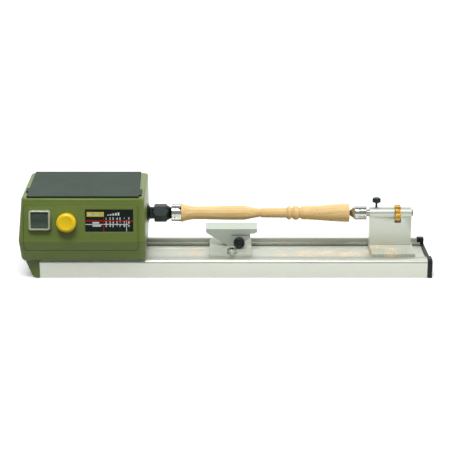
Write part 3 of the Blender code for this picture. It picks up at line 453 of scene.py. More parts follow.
@dataclass(frozen=True)
class FrostedPlastic:
    """Smoky see-through plastic."""

    name: str
    colour: Colour
    alpha: float
    roughness: float = 0.3

    def dress(self) -> bpy.types.Material:
        """Build the material."""
        sheet = Sheet(self.name)
        place = sheet.place()
        haze = sheet.noise(place, 0.3, 3.0)
        darker = [c * 0.8 for c in self.colour]
        return sheet.coat(
            Base_Color=sheet.blend(haze, darker, self.colour),
            Roughness=haze * 0.2 + (self.roughness - 0.1),
            Alpha=haze * 0.1 + (self.alpha - 0.05),
        )


@dataclass(frozen=True)
class PrintedInk:
    """A flat print or enamel, very slightly mottled."""

    name: str
    colour: Colour
    roughness: float = 0.45

    def dress(self) -> bpy.types.Material:
        """Build the material."""
        sheet = Sheet(self.name)
        mottle = sheet.noise(sheet.place(), 1.4, 3.0)
        darker = [c * 0.86 for c in self.colour]
        return sheet.coat(
            Base_Color=sheet.blend(mottle, darker, self.colour),
            Roughness=mottle * 0.15 + (self.roughness - 0.07),
            Specular_IOR_Level=0.2,
        )


GREEN = MouldedPlastic("green_plastic", tint(105, 124, 50), 0.34)
BLACK = MouldedPlastic("black_plastic", tint(20, 27, 25), 0.42, 0.02, shine=0.3)
YELLOW = MouldedPlastic("yellow_plastic", tint(255, 214, 22), 0.3, 0.012, 0.05, shine=0.35)
MAT = RibbedRubber("mat_rubber", tint(70, 82, 74))
EXTRUDED = Metal("bed_aluminium", tint(214, 218, 206), 0.4, Lay.ALONG_BED, 0.01, 0.85, dust=True)
CAST = Metal("cast_aluminium", tint(186, 194, 182), 0.54, Lay.BLASTED, 0.02, 0.45)
COLUMN = Metal("column_aluminium", tint(212, 217, 205), 0.42, Lay.BLASTED, 0.01, 0.8)
CAST_DUSTY = Metal("dusty_aluminium", tint(204, 210, 196), 0.56, Lay.BLASTED, 0.02, 0.3, dust=True)
STEEL = Metal("turned_steel", tint(178, 182, 176), 0.28, Lay.AROUND_SPINDLE, 0.01)
CHROME = Metal("bright_steel", tint(196, 198, 192), 0.2, Lay.AROUND_SPINDLE, 0.008)
# bore=11.2 paints shade in the drive dog's hollow, which shows through its tooth notches.
DRIVER = Metal("toothed_steel", tint(196, 198, 192), 0.22, Lay.AROUND_SPINDLE, 0.008, bore=11.2)
DARK_STEEL = Metal("black_steel", tint(34, 45, 42), 0.34, Lay.AROUND_SPINDLE, 0.012, 0.6)
BRASS = Metal("brass", tint(214, 168, 84), 0.3, Lay.AROUND_SPINDLE, 0.01)
BEECH = BareWood("beech", tint(247, 217, 154), tint(230, 190, 122), tint(168, 120, 62))
FROSTED = FrostedPlastic("switch_frame", tint(206, 214, 176), 0.86, 0.16)
RIM = FrostedPlastic("switch_rim", tint(150, 164, 120), 0.4, 0.2)
WINDOW = FrostedPlastic("switch_window", tint(84, 108, 92), 0.45, 0.12)
FILM = PrintedInk("label_film", tint(12, 26, 24), 0.3)
WHITE_INK = PrintedInk("white_ink", tint(225, 230, 222))
RED_INK = PrintedInk("red_ink", tint(170, 24, 26))
YELLOW_INK = PrintedInk("yellow_ink", tint(226, 208, 50))
BELT = MouldedPlastic("belt_rubber", tint(34, 34, 34), 0.8, 0.05)
BOARD = PrintedInk("circuit_board", tint(30, 84, 48))


class Paints:
    """Materials made so far, one for each finish."""

    made: dict[str, bpy.types.Material] = {}

    @classmethod
    def get(cls, finish: "Finish") -> bpy.types.Material:
        """Return a finish's material, making it the first time."""
        if finish.name not in cls.made:
            cls.made[finish.name] = finish.dress()
        return cls.made[finish.name]


Finish = Union[MouldedPlastic, RibbedRubber, Metal, BareWood, FrostedPlastic, PrintedInk]


# ----------------------------------------------------------------------------
# Making pieces
# ----------------------------------------------------------------------------


@dataclass
class Piece:
    """How a mesh becomes a piece of the machine."""

    name: str
    body: str
    slot: str
    finish: Finish
    stands_for: tuple[str, ...] = ()

    def from_bmesh(self, bm: bmesh.types.BMesh, smooth: bool = True) -> bpy.types.Object:
        """Scale a bmesh in millimetres to metres and put it on its body.

        Args:
            bm: The shape; it is freed.
            smooth: Whether faces that meet at a small angle are shaded as one surface.

        Returns:
            The finished object.
        """
        bmesh.ops.scale(bm, vec=(MM, MM, MM), verts=bm.verts)
        mesh = bpy.data.meshes.new(self.name)
        bm.to_mesh(mesh)
        bm.free()
        return self.from_mesh(mesh, smooth)

    def from_mesh(self, mesh: bpy.types.Mesh, smooth: bool = True) -> bpy.types.Object:
        """Put a mesh in metres on its body, with its finish."""
        if smooth:
            mesh.shade_smooth()
            mesh.set_sharp_from_angle(angle=SHARP)
        obj = bpy.data.objects.new(self.name, mesh)
        bpy.context.scene.collection.objects.link(obj)
        obj.data.materials.clear()
        obj.data.materials.append(Paints.get(self.finish))
        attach(obj, self.body)
        if self.stands_for:
            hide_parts(*self.stands_for)
        log.info("%s rides on %s, %d faces", self.name, self.body, len(mesh.polygons))
        return obj


class Shop:
    """The few ways in which this machine's pieces are shaped, all in millimetres."""

    AXES = {
        "X": Matrix.Identity(3),
        "Y": Matrix.Rotation(math.pi / 2, 3, "Z"),
        "Z": Matrix.Rotation(-math.pi / 2, 3, "Y"),
    }

    @staticmethod
    def turn(profile: Sequence[Point], axis: str = "X", sides: int = 64) -> bmesh.types.BMesh:
        """Spin a profile about an axis through zero.

        Args:
            profile: (along, radius) points; closed by itself where it starts off the axis.
            axis: The axis letter.
            sides: Number of steps round.

        Returns:
            A closed bmesh with its faces outwards.
        """
        bm = bmesh.new()
        verts = [bm.verts.new((along, radius, 0.0)) for along, radius in profile]
        edges = [bm.edges.new(pair) for pair in zip(verts, verts[1:])]
        if profile[0][1] > 1e-9:
            edges.append(bm.edges.new((verts[-1], verts[0])))
        shape = verts + edges
        bmesh.ops.spin(
            bm, geom=shape, cent=(0, 0, 0), axis=(1, 0, 0), angle=math.tau, steps=sides, use_merge=True
        )
        bmesh.ops.remove_doubles(bm, verts=bm.verts, dist=1e-4)
        bmesh.ops.rotate(bm, verts=bm.verts, matrix=Shop.AXES[axis])
        bmesh.ops.recalc_face_normals(bm, faces=bm.faces)
        return bm

    @staticmethod
    def box(x: Point, y: Point, z: Point, edge: float = 0.0) -> bmesh.types.BMesh:
        """A box between limits on each axis, with rounded edges if edge is over zero."""
        bm = bmesh.new()
        bmesh.ops.create_cube(bm, size=1.0)
        bmesh.ops.scale(bm, vec=(x[1] - x[0], y[1] - y[0], z[1] - z[0]), verts=bm.verts)
        middle = ((x[0] + x[1]) / 2, (y[0] + y[1]) / 2, (z[0] + z[1]) / 2)
        bmesh.ops.translate(bm, vec=middle, verts=bm.verts)
        if edge > 0:
            Shop.bevel(bm, list(bm.edges), edge, 3)
        return bm

    @staticmethod
    def bevel(bm: bmesh.types.BMesh, edges: list[bmesh.types.BMEdge], width: float, segments: int) -> None:
        """Round some edges by a width."""
        bmesh.ops.bevel(
            bm, geom=edges, offset=width, segments=segments, profile=0.5, affect="EDGES", material=-1,
            clamp_overlap=True,
        )

    @staticmethod
    def knurl(
        bm: bmesh.types.BMesh, lobes: int, depth: float, axis: str, keep: Callable[[Vector], bool]
    ) -> None:
        """Cut straight knurls into a turned shape.

        Args:
            bm: The shape, with its axis through zero.
            lobes: Knurls round the rim.
            depth: How deep they are.
            axis: The axis letter.
            keep: Says which points, given in the shape's own frame, the knurls reach.
        """
        back = Shop.AXES[axis].inverted()
        for vert in bm.verts:
            local = back @ vert.co
            if not keep(local):
                continue
            angle = math.atan2(local.z, local.y)
            radius = math.hypot(local.y, local.z)
            share = 1 - depth / radius * (0.5 - 0.5 * math.cos(lobes * angle))
            local.y *= share
            local.z *= share
            vert.co = Shop.AXES[axis] @ local

    @staticmethod
    def hoop(loops: Sequence[tuple[float, float, float, float]], steps: int = 8) -> bmesh.types.BMesh:
        """Skin a closed frame over rounded rectangles.

        Args:
            loops: (half width, half height, corner radius, depth) of each, going round the frame's section.
            steps: Steps round each corner.

        Returns:
            The frame, drawn upright with its front towards -Y.
        """
        bm = bmesh.new()
        rings = []
        for half_x, half_z, corner, depth in loops:
            ring = []
            for k in range(4 * (steps + 1)):
                side, step = divmod(k, steps + 1)
                angle = math.pi / 2 * (side + step / steps)
                x = math.copysign(half_x - corner, (1, -1, -1, 1)[side]) + corner * math.cos(angle)
                z = math.copysign(half_z - corner, (1, 1, -1, -1)[side]) + corner * math.sin(angle)
                ring.append(bm.verts.new((x, depth, z)))
            rings.append(ring)
        for first, second in zip(rings, rings[1:] + rings[:1]):
            for k in range(len(first)):
                after = (k + 1) % len(first)
                bm.faces.new((first[k], first[after], second[after], second[k]))
        bmesh.ops.recalc_face_normals(bm, faces=bm.faces)
        return bm

    @staticmethod
    def shift(bm: bmesh.types.BMesh, to: Sequence[float]) -> bmesh.types.BMesh:
        """Move a shape and return it."""
        bmesh.ops.translate(bm, vec=to, verts=bm.verts)
        return bm

    @staticmethod
    def carve(obj: bpy.types.Object, cutter: bmesh.types.BMesh) -> None:
        """Cut a shape in millimetres out of a finished object."""
        bmesh.ops.scale(cutter, vec=(MM, MM, MM), verts=cutter.verts)
        mesh = bpy.data.meshes.new("cutter")
        cutter.to_mesh(mesh)
        cutter.free()
        tool = bpy.data.objects.new("cutter", mesh)
        bpy.context.scene.collection.objects.link(tool)
        step = obj.modifiers.new("carve", "BOOLEAN")
        step.operation = "DIFFERENCE"
        step.solver = "EXACT"
        step.object = tool
        graph = bpy.context.evaluated_depsgraph_get()
        result = bpy.data.meshes.new_from_object(obj.evaluated_get(graph))
        obj.modifiers.remove(step)
        obj.data = result
        result.shade_smooth()
        result.set_sharp_from_angle(angle=SHARP)
        bpy.data.objects.remove(tool, do_unlink=True)

    @staticmethod
    def eased(node: str, piece: Piece, width: float, segments: int = 2) -> bpy.types.Object:
        """Copy a CAD node, merge its triangles into faces and round its sharp edges.

        Args:
            node: The CAD node.
            piece: What the copy becomes.
            width: Width of the rounded edges, in millimetres.
            segments: Steps across each edge.

        Returns:
            The finished object, which stands for the node.
        """
        bm = bmesh.new()
        bm.from_mesh(bpy.data.objects[node].data)
        bmesh.ops.remove_doubles(bm, verts=bm.verts, dist=5e-6)
        bmesh.ops.dissolve_limit(
            bm, angle_limit=math.radians(0.6), use_dissolve_boundaries=False, verts=bm.verts, edges=bm.edges
        )
        bmesh.ops.recalc_face_normals(bm, faces=bm.faces)
        mesh = bpy.data.meshes.new(piece.name)
        bm.to_mesh(mesh)
        bm.free()
        obj = piece.from_mesh(mesh)
        if width > 0:
            step = obj.modifiers.new("eased_edges", "BEVEL")
            step.width = width * MM
            step.segments = segments
            step.limit_method = "ANGLE"
            step.angle_limit = SHARP
            step.use_clamp_overlap = True
            step.harden_normals = True
        return obj


@dataclass
class Profile:
    """A turner's profile, grown from one end to the other."""

    points: list[Point]

    def line(self, along: float, radius: float) -> "Profile":
        """Run straight to a point."""
        self.points.append((along, radius))
        return self

    def sweep(self, along: float, radius: float, steps: int = 10) -> "Profile":
        """Run to a point in a slow S, level at both ends."""
        x0, r0 = self.points[-1]
        for k in range(1, steps + 1):
            share = k / steps
            ease = 0.5 - 0.5 * math.cos(math.pi * share)
            self.points.append((x0 + (along - x0) * share, r0 + (radius - r0) * ease))
        return self

    def flare(self, along: float, radius: float, power: float = 2.2, steps: int = 12) -> "Profile":
        """Run to a point, steeply at first and level at its end."""
        x0, r0 = self.points[-1]
        for k in range(1, steps + 1):
            share = k / steps
            self.points.append((x0 + (along - x0) * share, radius + (r0 - radius) * (1 - share) ** power))
        return self

    def bead(self, along: float, crown: float, steps: int = 10) -> "Profile":
        """Run over a rounded bead as high as crown and back down to the radius at its start."""
        x0, r0 = self.points[-1]
        for k in range(1, steps + 1):
            share = k / steps
            bulge = math.sin(math.pi * share) ** 0.75 if k < steps else 0.0
            self.points.append((x0 + (along - x0) * share, r0 + (crown - r0) * bulge))
        return self


def centre_of(node: str) -> Vector:
    """Middle of a CAD node's box, in millimetres."""
    low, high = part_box(node)
    return (low + high) / 2 / MM


def low_of(node: str) -> Vector:
    """Lowest corner of a CAD node's box, in millimetres."""
    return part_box(node)[0] / MM


def high_of(node: str) -> Vector:
    """Highest corner of a CAD node's box, in millimetres."""
    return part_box(node)[1] / MM


def repaint(node: str, finish: Finish) -> None:
    """Give a CAD node that stays in view its finish."""
    slots = bpy.data.objects[node].data.materials
    slots.clear()
    slots.append(Paints.get(finish))
    log.info("%s keeps its shape, in %s", node, finish.name)


# ----------------------------------------------------------------------------
# Sub-assemblies
# ----------------------------------------------------------------------------


def copy_of(
    node: str, name: str, body: str, slot: str, finish: Finish, width: float, segments: int = 2
) -> bpy.types.Object:
    """Build an eased copy of a CAD node, which stands for it.

    Args:
        node: The CAD node.
        name: The copy's name.
        body: The body it rides on.
        slot: The CAD material slot that it belongs to; it is kept on the piece but not used.
        finish: Its finish.
        width: Width of its rounded edges, in millimetres.
        segments: Steps across each edge.

    Returns:
        The finished object.
    """
    return Shop.eased(node, Piece(name, body, slot, finish, (node,)), width, segments)


def spun(piece: Piece, profile: Profile, at: Vector, sides: int = 72) -> bpy.types.Object:
    """Turn a profile about a line along X through a point, and make it a piece."""
    return piece.from_bmesh(Shop.shift(Shop.turn(profile.points, "X", sides), at))


@dataclass
class Bed:
    """The extruded bed with its end cap."""

    edge: float = 0.35
    cap_edge: float = 0.7
    screw_edge: float = 0.15

    def build(self) -> None:
        """Make the bed's pieces."""
        copy_of("bed_extrusion", "bed", "bed", "aluminium", EXTRUDED, self.edge)
        copy_of("bed_end_cap", "end_cap", "bed", "black_plastic", BLACK, self.cap_edge)
        for side in ("front", "rear"):
            copy_of("end_cap_screw_" + side, "cap_screw_" + side, "bed", "steel", STEEL, self.screw_edge, 1)


@dataclass
class Headstock:
    """The two green shells, the mat on top and what is fixed to the rear wall."""

    shell_edge: float = 0.7
    mat_edge: float = 0.6
    gland_edge: float = 0.4
    screw_edge: float = 0.2

    def build(self) -> None:
        """Make the headstock's outer pieces and paint the inner ones."""
        for half in ("lower", "upper"):
            shell = f"{half}_shell"
            copy_of("headstock_" + shell, shell, "bed", "green_plastic", GREEN, self.shell_edge)
        copy_of("top_mat", "ribbed_mat", "bed", "mat_rubber", MAT, self.mat_edge)
        copy_of("cord_gland", "gland", "bed", "black_plastic", BLACK, self.gland_edge)
        for level in ("upper", "lower"):
            for side in ("left", "right"):
                place = f"screw_{level}_{side}"
                copy_of("housing_" + place, "shell_" + place, "bed", "steel", STEEL, self.screw_edge, 1)
        inner: tuple[tuple[Finish, str], ...] = (
            (CAST, "headstock_plate"),
            (STEEL, "headstock_bolt_front headstock_bolt_rear"),
            (CAST, "bearing_block"),
            (CHROME, "spindle_bearing_front spindle_bearing_rear"),
            (DARK_STEEL, "motor_can"),
            (STEEL, "motor_bracket motor_shaft motor_armature"),
            (CAST, "motor_pulley"),
            (BLACK, "motor_fan"),
            (CAST, "spindle_pulley"),
            (BELT, "drive_belt"),
            (STEEL, "speed_potentiometer speed_knob_shaft"),
            (BOARD, "control_board"),
            (STEEL, "column_screw_left column_screw_right collet"),
        )
        for finish, nodes in inner:
            for node in nodes.split():
                repaint(node, finish)


@dataclass
class ControlPanel:
    """The leaning front panel: switch under its cover, speed knob and printed label."""

    lean: float = math.atan2(10.0, 54.5)
    edge: float = 0.5
    ink: float = 0.04
    shaft_depth: float = 1.7
    numeral: float = 4.2
    weight: float = 0.16

    def build(self) -> None:
        """Make the panel and everything on it."""
        copy_of("control_panel", "front_panel", "bed", "green_plastic", GREEN, self.edge)
        self.make_switch()
        self.make_knob()
        self.make_label()

    def onto(self, bm: bmesh.types.BMesh, at: Vector) -> bmesh.types.BMesh:
        """Carry a shape drawn upright, front towards -Y, onto the leaning panel at a point."""
        bmesh.ops.rotate(bm, verts=bm.verts, matrix=Matrix.Rotation(-self.lean, 3, "X"))
        return Shop.shift(bm, at)

    def make_switch(self) -> None:
        """Make the see-through frame with its raised bezel, the window, the switch body and the rocker."""
        at = centre_of("switch_cover")
        rim = Shop.hoop(
            (
                (16.3, 15.1, 3.5, 3.1), (16.3, 15.1, 3.5, 2.1), (15.9, 14.7, 3.1, 1.8),
                (14.9, 13.9, 2.9, 1.8), (14.6, 13.6, 2.8, 2.1), (14.6, 13.6, 2.8, 3.1),
            )
        )
        bezel = Shop.hoop(
            (
                (14.3, 13.3, 3.0, 3.1), (14.3, 13.3, 3.0, -1.7), (13.9, 12.9, 2.8, -2.7),
                (13.3, 12.3, 2.4, -3.1), (12.5, 11.5, 1.9, -3.1), (11.9, 11.0, 1.6, -2.6),
                (11.4, 10.7, 1.4, -1.2), (11.4, 10.7, 1.4, 3.1),
            )
        )
        window = Shop.box((-11.3, 11.3), (-1.3, -0.7), (-10.6, 10.6), 0.2)
        for name, shape, finish in (
            ("switch_rim", rim, RIM),
            ("switch_frame", bezel, FROSTED),
            ("switch_window", window, WINDOW),
        ):
            piece = Piece(name, "bed", "clear_plastic", finish, ("switch_cover",))
            piece.from_bmesh(self.onto(shape, at))
        copy_of("switch_housing", "switch_body", "bed", "black_plastic", BLACK, 0.4)
        copy_of("switch_rocker", "rocker", "switch_rocker", "black_plastic", BLACK, 0.8, 3)

    def make_knob(self) -> None:
        """Make the yellow speed knob: a shallow dish and a grooved skirt."""
        shaft = centre_of("speed_knob_shaft")
        normal = Matrix.Rotation(-self.lean, 3, "X") @ Vector((0, 1, 0))
        at = shaft - normal * self.shaft_depth
        profile = Profile([(-11.6, 0.0)]).line(-11.65, 8.0).sweep(-11.9, 9.0, 3)
        profile.line(-11.9, 9.3).flare(-9.4, 12.8, 1.9, 8).line(-1.3, 12.95).line(-1.0, 12.6)
        profile.line(-1.0, 3.4).line(-8.0, 3.4).line(-8.0, 0.0)
        knob = Shop.turn(profile.points, "Y", 120)
        Shop.knurl(knob, 40, 0.28, "Y", lambda p: math.hypot(p.y, p.z) > 12.7 and p.x > -9.7)
        piece = Piece("yellow_knob", "speed_knob", "yellow_plastic", YELLOW, ("speed_knob",))
        piece.from_bmesh(self.onto(knob, at))

    def make_label(self) -> None:
        """Make the dark label with a plain badge, ruled lines and rows of generic figures."""
        copy_of("label_plate", "label", "bed", "label_film", FILM, 0.15, 1)
        size = high_of("label_plate") - low_of("label_plate")
        rise, run = math.cos(self.lean), math.sin(self.lean)
        wide = size.x
        tall = (size.z * rise - size.y * run) / (rise**2 - run**2)
        thick = (size.y * rise - size.z * run) / (rise**2 - run**2)
        middle = centre_of("label_plate") + Vector((0, -rise, run)) * (thick / 2)

        rules = [
            ("badge", 0.03, 0.39, 0.69, 0.90, YELLOW_INK),
            ("badge_bar", 0.06, 0.36, 0.75, 0.84, WHITE_INK),
            ("red_rule", 0.0, 1.0, 0.465, 0.52, RED_INK),
            ("red_divider", 0.376, 0.392, 0.0, 0.63, RED_INK),
            ("grey_rule", 0.0, 0.895, 0.315, 0.35, WHITE_INK),
            ("white_divider", 0.858, 0.872, 0.0, 0.54, WHITE_INK),
            ("name_bar_upper", 0.15, 0.29, 0.37, 0.44, WHITE_INK),
            ("name_bar_lower", 0.15, 0.33, 0.23, 0.30, WHITE_INK),
        ]
        for step in range(5):
            left = 0.46 + 0.055 * step
            rules.append((f"scale_step_{step + 1}", left, left + 0.035, 0.74, 0.78 + 0.025 * step, WHITE_INK))
        for name, left, right, bottom, top, ink in rules:
            x = ((left - 0.5) * wide, (right - 0.5) * wide)
            z = ((bottom - 0.5) * tall, (top - 0.5) * tall)
            bar = Shop.box(x, (-self.ink, self.ink), z)
            Piece(name, "bed", "label_film", ink).from_bmesh(self.onto(bar, middle), smooth=False)
        places = [(x - 0.5) * wide for x in (0.437, 0.520, 0.583, 0.666, 0.730, 0.820, 0.915)]
        rows = (("1234567", 0.545), ("2345678", 0.365), ("3456789", 0.215))
        for number, (figures, up) in enumerate(rows):
            self.print_row(f"figures_{number + 1}", figures, middle, places, (up - 0.5) * tall)

    def print_row(self, name: str, figures: str, at: Vector, places: list[float], up: float) -> None:
        """Print a row of figures on the label as one piece.

        Args:
            name: The piece's name.
            figures: One figure for each place.
            at: The middle of the label's face.
            places: Middles of the figures, to the right of the label's middle.
            up: Their foot's height over the label's middle.
        """
        row = bmesh.new()
        for figure, right in zip(figures, places):
            curve = bpy.data.curves.new(name, "FONT")
            curve.body = figure
            curve.size = self.numeral
            curve.align_x = "CENTER"
            curve.extrude = self.ink
            curve.offset = self.weight
            holder = bpy.data.objects.new(name + "_type", curve)
            bpy.context.scene.collection.objects.link(holder)
            graph = bpy.context.evaluated_depsgraph_get()
            mesh = bpy.data.meshes.new_from_object(holder.evaluated_get(graph))
            bpy.data.objects.remove(holder, do_unlink=True)
            mesh.transform(Matrix.Translation((right, 0, up)) @ Matrix.Rotation(math.pi / 2, 4, "X"))
            row.from_mesh(mesh)
        bmesh.ops.recalc_face_normals(row, faces=row.faces)
        Piece(name, "bed", "label_film", WHITE_INK).from_bmesh(self.onto(row, at), smooth=False)


@dataclass
class SpindleLine:
    """Spindle nose, collet nut, drive dog and the workpiece."""

    neck: float = 8.2

    def build(self) -> None:
        """Make everything that turns on the spindle's axis."""
        line = centre_of("workpiece")
        at = Vector((0, line.y, line.z))
        self.make_spindle(at)
        copy_of("collet_nut", "hex_nut", "collet_nut", "black_steel", DARK_STEEL, 0.3)
        self.make_dog(at)
        self.make_workpiece(at)

    def make_spindle(self, at: Vector) -> None:
        """Make the spindle: trumpet flange, neck with its pin hole, and hollow nose."""
        flange = -107.6
        profile = Profile([(-210.0, 0.0)]).line(-210.0, 5.6).line(-209.6, 5.8).line(-113.0, 5.8)
        profile.line(-113.0, self.neck).line(flange, self.neck).line(flange, 12.9)
        profile.line(flange + 0.9, 13.0).flare(-103.2, self.neck, 2.0, 8)
        profile.line(-99.0, self.neck).line(-98.9, 7.0).line(-86.0, 7.0).line(-86.0, 6.1)
        profile.line(-96.0, 6.1).line(-96.0, 0.0)
        shaft = spun(Piece("spindle_shaft", "spindle", "black_steel", DARK_STEEL, ("spindle",)), profile, at)
        hole = Shop.turn([(4.0, 0.0), (4.0, 1.9), (12.0, 1.9), (12.0, 0.0)], "Y", 24)
        bmesh.ops.rotate(hole, verts=hole.verts, matrix=Matrix.Rotation(math.radians(140), 3, "X"))
        Shop.carve(shaft, Shop.shift(hole, at + Vector((-101.0, 0, 0))))

    def make_dog(self, at: Vector) -> None:
        """Make the drive dog with its centre point and four teeth."""
        back, face, tip = -75.1, -65.0, -62.1
        profile = Profile([(-92.0, 0.0)]).line(-92.0, 4.0).line(back, 4.0).line(back, 11.3)
        profile.flare(back + 0.7, 11.85, 2.0, 4).line(back + 4.0, 11.85).line(back + 4.3, 11.5)
        profile.line(back + 4.9, 11.5).line(back + 5.2, 11.85).line(tip, 11.85).line(tip, 10.6)
        profile.line(face, 7.5).line(face, 3.0).line(tip, 0.0)
        dog = spun(Piece("driver", "spindle", "chrome", DRIVER, ("drive_dog",)), profile, at)
        for k in range(4):
            notch = bmesh.new()
            bmesh.ops.create_cone(notch, cap_ends=True, segments=3, radius1=5.4, radius2=5.4, depth=10.0)
            bmesh.ops.rotate(notch, verts=notch.verts, matrix=Matrix.Rotation(math.pi / 2, 3, "Z"))
            Shop.shift(notch, (tip + 1.25, 0.0, 9.0))
            turn = Matrix.Rotation(math.pi / 4 + math.pi / 2 * k, 3, "X")
            bmesh.ops.rotate(notch, verts=notch.verts, cent=(0, 0, 0), matrix=turn)
            Shop.carve(dog, Shop.shift(notch, at))

    def make_workpiece(self, at: Vector) -> None:
        """Make the turned beech spindle."""
        left, right = low_of("workpiece").x, high_of("workpiece").x
        wood = Profile([(left, 0.0)]).line(left, 11.8).line(left + 0.25, 12.3).line(left + 0.7, 12.48)
        wood.line(left + 1.6, 12.35).flare(-40.0, 8.9, 2.4, 16)
        wood.sweep(10.0, 9.62, 10).line(22.0, 9.6).sweep(44.0, 6.3, 16)
        wood.line(44.9, 5.5).line(45.6, 5.3).line(46.3, 5.5).line(47.2, 6.55).line(82.0, 6.9)
        wood.line(82.4, 7.2).bead(88.6, 9.45).line(89.3, 6.7).line(90.2, 7.6).bead(99.4, 9.75, 12)
        wood.line(100.0, 7.2).line(101.5, 7.2).line(102.0, 9.0).line(102.7, 9.15)
        wood.sweep(right - 0.9, 12.45, 8).line(right - 0.2, 12.3).line(right, 11.9)
        wood.line(right, 3.1).line(right - 3.7, 0.0)
        spun(Piece("turned_wood", "spindle", "beech", BEECH, ("workpiece",)), wood, at)


@dataclass
class ToolRest:
    """The carriage plate, the post and the T-shaped rest."""

    edge: float = 0.5

    def build(self) -> None:
        """Make the tool rest's pieces."""
        copy_of("rest_base", "rest_plate", "rest_carriage", "cast_aluminium", CAST_DUSTY, self.edge)
        repaint("rest_slot_nut", STEEL)
        copy_of("rest_post", "post", "rest_post", "steel", STEEL, 0.3)
        copy_of("tool_rest", "rest_bar", "tool_rest", "cast_aluminium", CAST, 0.6)
        self.make_cap_screw("rest_clamp_screw", "rest_screw", 6.4, 6.5, 3.0, STEEL)
        self.make_cap_screw("tailstock_clamp_screw", "tail_screw", 4.2, 6.0, 2.3, DARK_STEEL)
        self.make_clamp_knob()

    def make_cap_screw(
        self, node: str, name: str, radius: float, tall: float, key: float, finish: Finish
    ) -> None:
        """Make a socket-head screw with a knurled head.

        Args:
            node: The CAD node, which is also its body's name.
            name: The piece's name.
            radius: The head's radius.
            tall: The head's height.
            key: Radius of the hexagon across its corners.
            finish: The screw's finish.
        """
        centre = centre_of(node)
        foot = high_of(node).z - tall
        tip = low_of(node).z - foot
        profile = Profile([(tip, 0.0)]).line(tip, 2.1).line(tip + 0.4, 2.5).line(0.0, 2.5)
        profile.line(0.0, radius - 0.3).line(0.3, radius).line(tall - 0.8, radius)
        profile.flare(tall, radius - 0.9, 1.8, 4).line(tall, 0.0)
        screw = Shop.turn(profile.points, "Z", 96)
        Shop.knurl(screw, 32, 0.25, "Z", lambda p: math.hypot(p.y, p.z) > radius - 0.1 and p.x > 0.2)
        piece = Piece(name, node, "steel" if finish is STEEL else "black_steel", finish, (node,))
        at = Vector((centre.x, centre.y, foot))
        obj = piece.from_bmesh(Shop.shift(screw, at))
        socket = Shop.turn([(tall * 0.5, 0.0), (tall * 0.5, key), (tall + 1, key), (tall + 1, 0.0)], "Z", 6)
        Shop.carve(obj, Shop.shift(socket, at))

    def make_clamp_knob(self) -> None:
        """Make the black clamp knob with its dished face and fluted rim."""
        low, high = low_of("rest_clamp_knob"), high_of("rest_clamp_knob")
        centre = centre_of("rest_clamp_knob")
        long = high.y - low.y
        profile = Profile([(1.0, 0.0)]).line(1.1, 4.0).sweep(0.1, 5.4, 5).line(0.0, 6.2)
        profile.flare(1.4, 7.7, 1.8, 6).line(5.6, 7.7).flare(6.8, 6.9, 0.6, 4).line(6.8, 4.2)
        profile.line(13.0, 4.1).line(13.0, 2.2).line(long - 0.4, 2.2).line(long, 1.8).line(long, 0.0)
        knob = Shop.turn(profile.points, "Y", 120)
        Shop.knurl(knob, 30, 0.5, "Y", lambda p: math.hypot(p.y, p.z) > 7.4)
        piece = Piece("clamp_knob", "rest_clamp_knob", "black_plastic", BLACK, ("rest_clamp_knob",))
        piece.from_bmesh(Shop.shift(knob, (centre.x, low.y, centre.z)))


